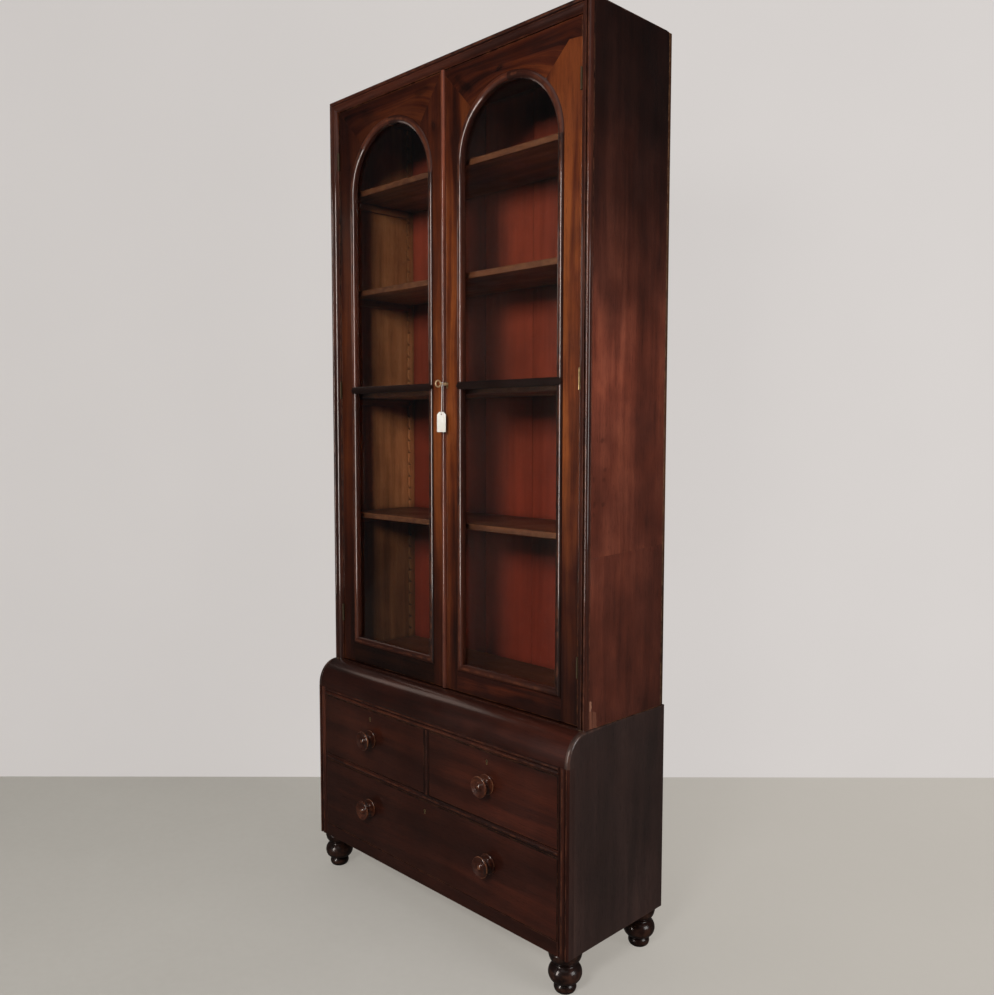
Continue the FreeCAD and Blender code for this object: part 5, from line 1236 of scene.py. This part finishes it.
def chest():
    for sx, nm in ((-1, "left"), (1, "right")):
        p = Piece("chest_side_%s_board" % nm)
        fn = lambda a, b, c, s=sx: (s * c, a, b)
        e = ellipse(ELL_A, ELL_B)
        pts = e + [(YB_LOW, Z_JOINT), (YB_LOW, Z_CARCASS), (YB_RAIL, Z_CARCASS), (YB_RAIL, Z_FRIEZE0), (YF_LOW, Z_FRIEZE0)]
        w = [6.0] * (len(e) - 1) + [0.8, 1.2, 0.8, 0.12, 0.12, 6.0]
        p.add(*slab(pts, XL, XL - 12.0, w, fn, e=3.0, w_far=0.5, seg=5), grain="z", seed=201 + sx, tint=(1.0, 0.0, 0.8))
        pts = [(YF_LOW + ELL_A, Z_JOINT), (YB_LOW, Z_JOINT), (YB_LOW, Z_CARCASS), (YB_RAIL, Z_CARCASS), (YB_RAIL, Z_FRIEZE0), (YF_LOW + ELL_A, Z_FRIEZE0)]
        p.add(*slab(pts, XL - 11.5, X_IN_LOW, 0.3, fn), grain="z", seed=204 + sx, tint=(0.9, 0.0, 1.0), mat=1)
        p.make("root", "case_wood", [W_CSIDE, W_ROUGH], ["chest_side_%s" % nm])
    st = Piece("chest_stiles_moulded")
    for sx in (-1, 1):
        v, f, ew = extrude(SP, lambda s, d, z, q=sx: (q * (XL - s), YF_LOW - d, z), Z_CARCASS, Z_FRIEZE0,
                           wear=lambda s, d: 1.0 if (d > -0.4 and (4 < s < 8 or 17 < s < 22)) else 0.0)
        st.add(v, f, ew, grain="z", seed=211 + sx, tint=(0.95, 0.35, 1.0))
        st.mi[-len(f)] = 1
    st.make("root", "moulding_wood", [W_MOULD, W_CSIDE], ["chest_stiles"])
    b = Piece("chest_boards")
    b.add(*rbox(-X_IN_LOW, X_IN_LOW, YF_LOW + ELL_A + 36.0, YB_LOW - T_BACK, Z_JOINT - 18.0, Z_JOINT, 0.8), grain="x", seed=221, tint=(0.8, 0, 1))
    b.add(*rbox(-X_IN_LOW, X_IN_LOW, YF_LOW + ELL_A, YF_LOW + ELL_A + 35.8, Z_JOINT - 18.0, Z_JOINT, 0.5), grain="x", seed=220, tint=(0.7, 0.3, 1), mat=1)
    b.add(*rbox(-X_IN_LOW, X_IN_LOW, YB_RAIL, YB_LOW - T_BACK, Z_CARCASS, Z_CARCASS + 18.0, 0.8), grain="x", seed=222)
    zs = (Z_CARCASS, 268.0, 447.0, Z_JOINT)
    for k in range(3):
        b.add(*rbox(-X_IN_LOW, X_IN_LOW, YB_LOW - T_BACK, YB_LOW, zs[k] + (0.4 if k else 0), zs[k + 1] - (0.4 if k < 2 else 0), 1.0),
              grain="x", seed=225 + k, tint=(0.85 + 0.2 * rnd(k, 5), 0, 1))
    b.make("root", "rough_wood", [W_ROUGH, W_CHEST], ["chest_top_board", "chest_bottom_board", "chest_back_boards"])
    fr = Piece("cushion_frieze")
    pr = ellipse(ELL_A - 2.0, ELL_B - 1.5, 24) + [(YF_LOW + ELL_A, Z_FRIEZE0), (YF_LOW + 2.0, Z_FRIEZE0)]
    v, f, ew = extrude(pr, lambda y, z, x: (x, y, z), -XL + 12.0, XL - 12.0, n=9)

    def along(v):
        t = np.arctan2(v[:, 2] - 561.0, -(v[:, 1] - (YF_LOW + ELL_A)))
        return np.stack([t * 65.0, v[:, 1] * 0.2, v[:, 0]], 1)
    fr.add(v, f, ew, grain=along, seed=231, tint=(0.95, 0.3, 1.25))
    n = len(fr.tn[0])
    x = v[:, 0]
    fr.tn[0][:, 0] = 0.80 + 0.45 * np.clip((x - 150.0) / 330.0, 0, 1)
    fr.tn[0][:, 1] = 0.35 + 0.35 * np.clip((x - 200.0) / 280.0, 0, 1)
    fr.make("root", "case_wood", [W_CHEST], ["frieze"])
    r = Piece("front_beads")
    BP = profile([(-RAIL_D, Z_DRW1), (-2.0, Z_DRW1), (-2.0, Z_DRW1 + 0.8), ("arc", (0.0, Z_DRW1 + 6.0), (-2.2, Z_DRW1 + 11.2)),
                  (-3.4, Z_DRW1 + 11.9), (-2.2, Z_DRW1 + 12.6), ("arc", (0.0, Z_DRW1 + 17.0), (-2.0, Z_DRW1 + 21.6)),
                  (-3.0, Z_FRIEZE0), (-RAIL_D, Z_FRIEZE0)], 8)
    v, f, ew = extrude(BP, lambda d, z, x: (x, YF_LOW - d, z), -X_DOPEN, X_DOPEN, wear=lambda d, z: 0.9 if d > -0.35 else 0.0)
    r.add(v, f, ew, grain="x", seed=241, tint=(0.85, 0.3, 1.0))
    mid = (Z_MID0 + Z_MID1) / 2
    BR = profile([(-9.0, -RAIL_D), (-9.0, -2.0), (-5.6, -2.0), (-5.2, -2.8), (-4.8, -1.9), ("arc", (0.0, 0.0), (4.8, -1.9)), (5.2, -2.8),
                  (5.6, -2.0), (9.0, -2.0), (9.0, -RAIL_D)], 8)
    wr = lambda t, d: 0.9 if d > -0.35 else 0.0
    v, f, ew = extrude(BR, lambda t, d, x: (x, YF_LOW - d, mid + t), -X_DOPEN, X_DOPEN, wear=wr)
    r.add(v, f, ew, grain="x", seed=242, tint=(0.8, 0.3, 1.0))
    v, f, ew = extrude(BR, lambda t, d, z: (t, YF_LOW - d, z), Z_MID1, Z_DRW1, wear=wr)
    r.add(v, f, ew, grain="z", seed=243, tint=(0.8, 0.3, 1.0))
    r.make("root", "moulding_wood", [W_MOULD], ["frieze_bead", "middle_rail", "drawer_divider"])
    q = Piece("base_rail")
    q.add(*rbox(-X_DOPEN, X_DOPEN, Y_DRW, YB_RAIL, Z_CARCASS, Z_BOT1, 0.8), grain="x", seed=251, tint=(0.75, 0.3, 0.9))
    q.make("root", "case_wood", [W_CHEST], ["bottom_rail"])
    ft = Piece("turned_feet")
    FP = profile([(0.0, Z_CARCASS + 13.0), (11.9, Z_CARCASS + 13.0), (11.9, Z_CARCASS), (39.6, Z_CARCASS), ("arc", (40.8, 95.0), (39.6, 89.5)),
                  ("arc", (35.6, 79.5), (29.0, 73.2)), (28.2, 71.4), (28.2, 69.4), (29.6, 68.0), ("arc", (40.8, 47.0), (29.6, 26.0)),
                  (24.4, 24.6), (22.6, 23.4), (23.2, 22.2), ("arc", (27.3, 12.4), (23.4, 2.2)), (20.6, 0.0), (0.0, 0.0)], 12)
    k = 0
    for fx in (-459.0, 459.0):
        for fy in (YF_LOW + 40.8, YB_LOW - 40.8):
            v, f, ew = lathe(FP, lambda a, b, h, X=fx, Y=fy: (X + a, Y + b, h), 72, wear=lambda r, h: 0.9 if r > 38.5 or (r > 26.4 and h < 20) or h < 1 else 0.0)
            ft.add(v, f, ew, grain="z", seed=261 + k)
            k += 1
    ft.make("root", "foot_wood", [W_FOOT], ["feet"])


BR_, BH_ = 9.0, 3.6
_R = (BR_ ** 2 + BH_ ** 2) / (2 * BH_)
_a = math.asin(BR_ / _R) / 2
KNOB = profile([(-14.0, 0.0), (-14.0, 6.0), (0.0, 6.0), (0.0, 24.6), ("arc", (2.3, 25.9), (4.2, 24.2)), (4.9, 22.6),
                ("arc", (7.4, 15.2), (12.4, 12.4)), ("arc", (18.2, 14.6), (22.6, 22.6)), ("arc", (25.0, 25.9), (27.4, 26.9)),
                ("arc", (29.9, 26.4), (30.8, 24.4)), ("arc", (29.4, 20.0), (28.2, 15.6)), ("arc", (27.6, 12.2), (28.2, 9.8)), (29.4, BR_),
                ("arc", (KNOB_OUT - _R * (1 - math.cos(_a)), _R * math.sin(_a)), (KNOB_OUT, 0.0))], 9)


def knobs(name, body, at):
    p = Piece(name)
    for k, (x, z) in enumerate(at):
        v, f, ew = lathe([(r, d) for d, r in KNOB], lambda a, b, h, X=x, Z=z: (X + a, Y_DRW - h, Z + b), 88,
                         wear=lambda r, d: 1.0 if (r > 25.6 and d > 27) or (r < 5 and d > 31.5) or (r > 25.2 and d < 4) else 0.0)
        p.add(v, f, ew, grain="y", seed=int(abs(x) + z) + k)
    p.make(body, "knob_wood", [W_KNOB], [name])


def drawer(nm, x0, x1, z0, z1, tint, kh):
    p = Piece("drawer_%s_front_board" % nm)
    a, b, c, d = x0 + DGAP, x1 - DGAP, z0 + DGAP, z1 - DGAP
    v, f, ew = rbox(a, b, Y_DRW, Y_DRW + 1.6, c, d, 1.3, 3.0)
    p.add(v, f, ew, grain="x", seed=301 + int(x1), tint=tint)
    p.tn[0][:, 0] *= 0.92 + 0.14 * np.clip((v[:, 0] - a) / (b - a), 0, 1) ** 1.5
    p.tn[0][:, 1] += 0.25 * np.clip((v[:, 0] - a) / (b - a), 0, 1)
    # painted shadow: the top and right edges of each drawer face are tinted nearly black, where the rail and the parts
    # beside them shade it
    p.tn[0][:, 0] *= np.where((v[:, 2] > d - 1.4) | (v[:, 0] > b - 1.4), 0.08, 1.0)
    p.add(*rbox(a, b, Y_DRW + 1.3, Y_DRW + 20.0, c, d, 0.6), grain="x", seed=305, tint=(1, 0, 1), mat=1)
    p.make("drawer_" + nm, "case_wood", [W_CHEST, W_INNER], ["drawer_%s_front" % nm])
    q = Piece("drawer_%s_body" % nm)
    bx0, bx1, zb, zt, y0, yb = x0 + 2.5, x1 - 2.5, z0 + 0.3, z1 - 10.0, Y_DRW + 20.0, 170.0
    q.add(*rbox(bx0, bx0 + 11.0, y0, yb, zb, zt, 1.4), grain="y", seed=311)
    q.add(*rbox(bx1 - 11.0, bx1, y0, yb, zb, zt, 1.4), grain="y", seed=312)
    q.add(*rbox(bx0 + 11.0, bx1 - 11.0, yb - 11.0, yb, zb + 14.7, zt - 8.0, 1.2), grain="x", seed=313)
    q.add(*rbox(bx0 + 11.0, bx1 - 11.0, y0, yb, zb + 8.2, zb + 14.7, 0.5), grain="y" if x1 - x0 < 600 else "x", seed=314, tint=(0.9, 0, 1))
    # dovetails seen on the ends of the front and at the back corners
    n = 4
    h = (zt - zb - 8.0) / n
    for sx, xe, xs in ((-1, a, bx0), (1, b, bx1)):
        for k in range(n):
            z = zb + 4.0 + h * (k + 0.5)
            pts = [(Y_DRW + 6.0, z - h * 0.36), (Y_DRW + 6.0, z + h * 0.36), (Y_DRW + 20.0, z + h * 0.24), (Y_DRW + 20.0, z - h * 0.24)]
            fn = lambda u, w, t, s=sx: (t, u, w)
            q.add(*slab(pts, xe + sx * 0.08, xe - sx * 1.0, 0.05, fn, e=0.2), grain="y", seed=317 + k, tint=(0.92, 0, 1))
            pts = [(yb - 11.0, z - h * 0.2), (yb - 11.0, z + h * 0.2), (yb, z + h * 0.12), (yb, z - h * 0.12)]
            q.add(*slab(pts, xs + sx * 0.06, xs - sx * 0.8, 0.05, fn, e=0.2), grain="x", seed=327 + k, tint=(0.55, 0.2, 1))
    q.make("drawer_" + nm, "drawer_wood", [W_DRAWER], ["drawer_%s_box" % nm])


# ------------------------------------------------------------------ build
case_sides()
chip()
case_frame()
case_boards()
shelves()
door(-1, "left")
door(1, "right")
astragal()
metalwork()
key_tag()
chest()
drawer("left", -X_DOPEN, -DIV_W / 2, Z_MID1, Z_DRW1, (0.85, 0.1, 0.8), -238.5)
drawer("right", DIV_W / 2, X_DOPEN, Z_MID1, Z_DRW1, (1.0, 0.3, 1.0), 238.5)
drawer("long", -X_DOPEN, X_DOPEN, Z_BOT1, Z_MID0, (0.9, 0.15, 0.95), 0.0)
knobs("drawer_left_knob", "drawer_left", [(-246.5, 449.0)])
knobs("drawer_right_knob", "drawer_right", [(230.5, 449.0)])
knobs("drawer_long_knobs", "drawer_long", [(-251.0, 246.0), (235.0, 246.0)])


# ------------------------------------------------------------------ stage, light, camera
def stage():
    yaw = math.radians(45.2934)
    fwd = Vector((-math.sin(yaw), math.cos(yaw), 0))
    side = Vector((math.cos(yaw), math.sin(yaw), 0))
    cam0 = Vector((1.85796, -1.74139, 0))
    def toned(g, lit, left, right, gloss, share, share_r):
        """Share of a plain tone that grows from left to right as seen, and a dim tone for reflections."""
        geo = g.node("NewGeometry")
        u = g.vmath("DOT_PRODUCT", geo.outputs["Position"], tuple(side))
        u = g.math("SUBTRACT", u, float(side.dot(cam0)))
        tone = g.mix(g.span(u, -1.7, 1.7, 0.0, 1.0, False), left, right)
        n, _ = g.noise(geo.outputs["Position"], 1.1, 3.0, 0.5)
        tone = g.mix(1.0, tone, g.ramp(n, [(0.3, (0.985, 0.985, 0.985)), (0.7, (1.015, 1.015, 1.015))]), "MULTIPLY")
        em = g.node("Emission", {"Color": tone, "Strength": 1.0})
        dim = g.node("Emission", {"Color": gloss, "Strength": 1.0})
        lp = g.node("LightPath")
        seen = g.math("MAXIMUM", lp.outputs["Is Camera Ray"], lp.outputs["Is Transmission Ray"])
        part = g.span(u, -0.1, 0.7, share, share_r)
        a = g.node("MixShader", {0: g.math("MULTIPLY", seen, part), 1: lit, 2: em.outputs[0]})
        b = g.node("MixShader", {0: g.math("MULTIPLY", lp.outputs["Is Glossy Ray"], 1.0), 1: a.outputs[0], 2: dim.outputs[0]})
        return b.outputs[0]

    g = Graph("pale_floor")
    obj = g.node("TexCoord").outputs["Object"]
    n1, _ = g.noise(obj, 1.3, 5.0, 0.6)
    n2, _ = g.noise(obj, 40.0, 4.0, 0.6)
    c = g.ramp(g.math("ADD", g.math("MULTIPLY", n1, 0.7), g.math("MULTIPLY", n2, 0.3)),
               [(0.3, (0.56, 0.545, 0.515)), (0.7, (0.64, 0.625, 0.595))])
    sh = g.node("BsdfPrincipled", {"Base Color": c, "Roughness": 0.6, "Normal": g.bump(n2, 0.1, 0.001)})
    sh.inputs["Specular IOR Level"].default_value = 0.2
    g.t.links.new(toned(g, sh.outputs[0], (0.385, 0.362, 0.318), (0.570, 0.530, 0.478), (0.050, 0.046, 0.042), 0.50, 0.80), g.out.inputs[0])
    floor_mat = g.m
    g = Graph("pale_wall")
    obj = g.node("TexCoord").outputs["Object"]
    n1, _ = g.noise(obj, 0.9, 4.0, 0.6)
    c = g.ramp(n1, [(0.3, (0.77, 0.755, 0.735)), (0.7, (0.81, 0.795, 0.775))])
    sh = g.node("BsdfPrincipled", {"Base Color": c, "Roughness": 0.9})
    tn = toned(g, sh.outputs[0], (0.604, 0.571, 0.552), (0.694, 0.658, 0.638), (0.050, 0.047, 0.045), 0.85, 0.90)
    tr = g.node("BsdfTransparent")
    mx = g.node("MixShader", {0: g.node("NewGeometry").outputs["Backfacing"], 1: tn, 2: tr.outputs[0]})
    g.t.links.new(mx.outputs[0], g.out.inputs[0])
    wall_mat = g.m

    def plane(name, pts, mat):
        me = bpy.data.meshes.new(name)
        me.from_pydata([tuple(p) for p in pts], [], [tuple(range(len(pts)))])
        me.materials.append(mat)
        o = bpy.data.objects.new(name, me)
        bpy.context.scene.collection.objects.link(o)
        return o
    D, Hh = 3.49, 3.4
    e = cam0 + fwd * D
    L = 9.0
    plane("floor", [cam0 - fwd * 6 - side * L, cam0 - fwd * 6 + side * L, e + side * L, e - side * L], floor_mat)
    up = Vector((0, 0, Hh))
    wl, wr = 2.35, 3.2
    plane("wall", [e - side * wl, e + side * wr, e + side * wr + up, e - side * wl + up], wall_mat)


def light(name, loc, at, sx, sy, power, col=(1, 1, 1), gloss=True, diffuse=True, seen=True):
    d = bpy.data.lights.new(name, "AREA")
    d.shape, d.size, d.size_y, d.energy, d.color = "RECTANGLE", sx, sy, power, col
    o = bpy.data.objects.new(name, d)
    o.location = loc
    o.rotation_mode = "QUATERNION"
    o.rotation_quaternion = (Vector(at) - Vector(loc)).to_track_quat("-Z", "Y")
    o.visible_glossy = gloss
    o.visible_diffuse = diffuse
    o.visible_camera = seen
    bpy.context.scene.collection.objects.link(o)
    return o


def world():
    w = bpy.data.worlds.new("studio")
    bpy.context.scene.world = w
    w.use_nodes = True
    t = w.node_tree
    t.nodes.clear()
    out = t.nodes.new("ShaderNodeOutputWorld")
    tc = t.nodes.new("ShaderNodeTexCoord")
    sp = t.nodes.new("ShaderNodeSeparateXYZ")
    t.links.new(tc.outputs["Generated"], sp.inputs[0])
    r = t.nodes.new("ShaderNodeValToRGB")
    mr = t.nodes.new("ShaderNodeMapRange")
    mr.inputs[1].default_value, mr.inputs[2].default_value = -1.0, 1.0
    t.links.new(sp.outputs[2], mr.inputs[0])
    t.links.new(mr.outputs[0], r.inputs[0])
    e = r.color_ramp.elements
    e[0].position, e[0].color = 0.35, (0.30, 0.29, 0.28, 1)
    e[1].position, e[1].color = 0.75, (0.085, 0.085, 0.09, 1)
    m = e.new(0.52)
    m.color = (0.24, 0.235, 0.23, 1)
    dim = t.nodes.new("ShaderNodeBackground")
    t.links.new(r.outputs[0], dim.inputs[0])
    dim.inputs[1].default_value = 1.0
    seen = t.nodes.new("ShaderNodeBackground")
    seen.inputs[0].default_value = (0.60, 0.585, 0.57, 1)
    low = t.nodes.new("ShaderNodeBackground")
    low.inputs[0].default_value = (0.028, 0.027, 0.027, 1)
    lp = t.nodes.new("ShaderNodeLightPath")
    m0 = t.nodes.new("ShaderNodeMixShader")
    t.links.new(lp.outputs["Is Glossy Ray"], m0.inputs[0])
    t.links.new(dim.outputs[0], m0.inputs[1])
    t.links.new(low.outputs[0], m0.inputs[2])
    mx = t.nodes.new("ShaderNodeMixShader")
    t.links.new(lp.outputs["Is Camera Ray"], mx.inputs[0])
    t.links.new(m0.outputs[0], mx.inputs[1])
    t.links.new(seen.outputs[0], mx.inputs[2])
    t.links.new(mx.outputs[0], out.inputs[0])


def camera():
    C = Vector((1.85796, -1.74139, 1.33138))
    yaw, p, roll = math.radians(45.2934), math.radians(4.2015), math.radians(-0.0761)
    fwd = Vector((-math.sin(yaw) * math.cos(p), math.cos(yaw) * math.cos(p), -math.sin(p)))
    right = Vector((math.cos(yaw), math.sin(yaw), 0.0))
    down = fwd.cross(right)
    c, s = math.cos(roll), math.sin(roll)
    r2, d2 = right * c + down * s, down * c - right * s
    up, back = -d2, -fwd
    M = Matrix(((r2.x, up.x, back.x, C.x), (r2.y, up.y, back.y, C.y), (r2.z, up.z, back.z, C.z), (0, 0, 0, 1)))
    d = bpy.data.cameras.new("camera")
    d.sensor_width = 36.0
    d.sensor_fit = "AUTO"
    d.lens = 933.077 / 995.0 * 36.0
    o = bpy.data.objects.new("camera", d)
    o.matrix_world = M
    bpy.context.scene.collection.objects.link(o)
    bpy.context.scene.camera = o


stage()
world()
light("key", (1.45, -2.97, 2.45), (0.0, 0.0, 1.2), 0.8, 0.8, 76.0, (1.0, 0.985, 0.96), gloss=False)
light("front_fill", (-1.2, -3.1, 1.6), (0.0, 0.0, 1.4), 0.8, 2.2, 15.0, (1.0, 0.93, 0.86), gloss=False)
light("strip", (-0.4, -3.3, 1.55), (0.0, 0.0, 1.45), 0.45, 2.5, 84.0, (1.0, 0.90, 0.84), diffuse=False)
light("far_left", (-3.6, -0.5, 3.8), (-0.1, -0.2, 0.6), 1.7, 1.7, 24.0, (1.0, 0.86, 0.80), gloss=False)
light("ledge_glow", (-1.5, -0.30, 1.90), (-0.1, -0.17, 0.64), 0.7, 0.7, 2.1, (1.0, 0.80, 0.70), diffuse=False, seen=False)
light("ceiling", (1.0, -1.2, 3.3), (0.2, -0.2, 0.0), 2.4, 2.4, 9.0, (1.0, 0.99, 0.97))
light("right_fill", (3.4, 0.4, 1.5), (0.5, 0.0, 1.3), 1.4, 1.6, 44.0, (1.0, 0.985, 0.97))
camera()
sc = bpy.context.scene
sc.view_settings.view_transform = "Standard"
sc.view_settings.look = "None"
sc.cycles.use_denoising = True
sc.cycles.max_bounces = 8
sc.cycles.transmission_bounces = 8
sc.cycles.transparent_max_bounces = 10
sc.cycles.caustics_reflective = False
sc.cycles.caustics_refractive = False
sc.cycles.sample_clamp_indirect = 4.0
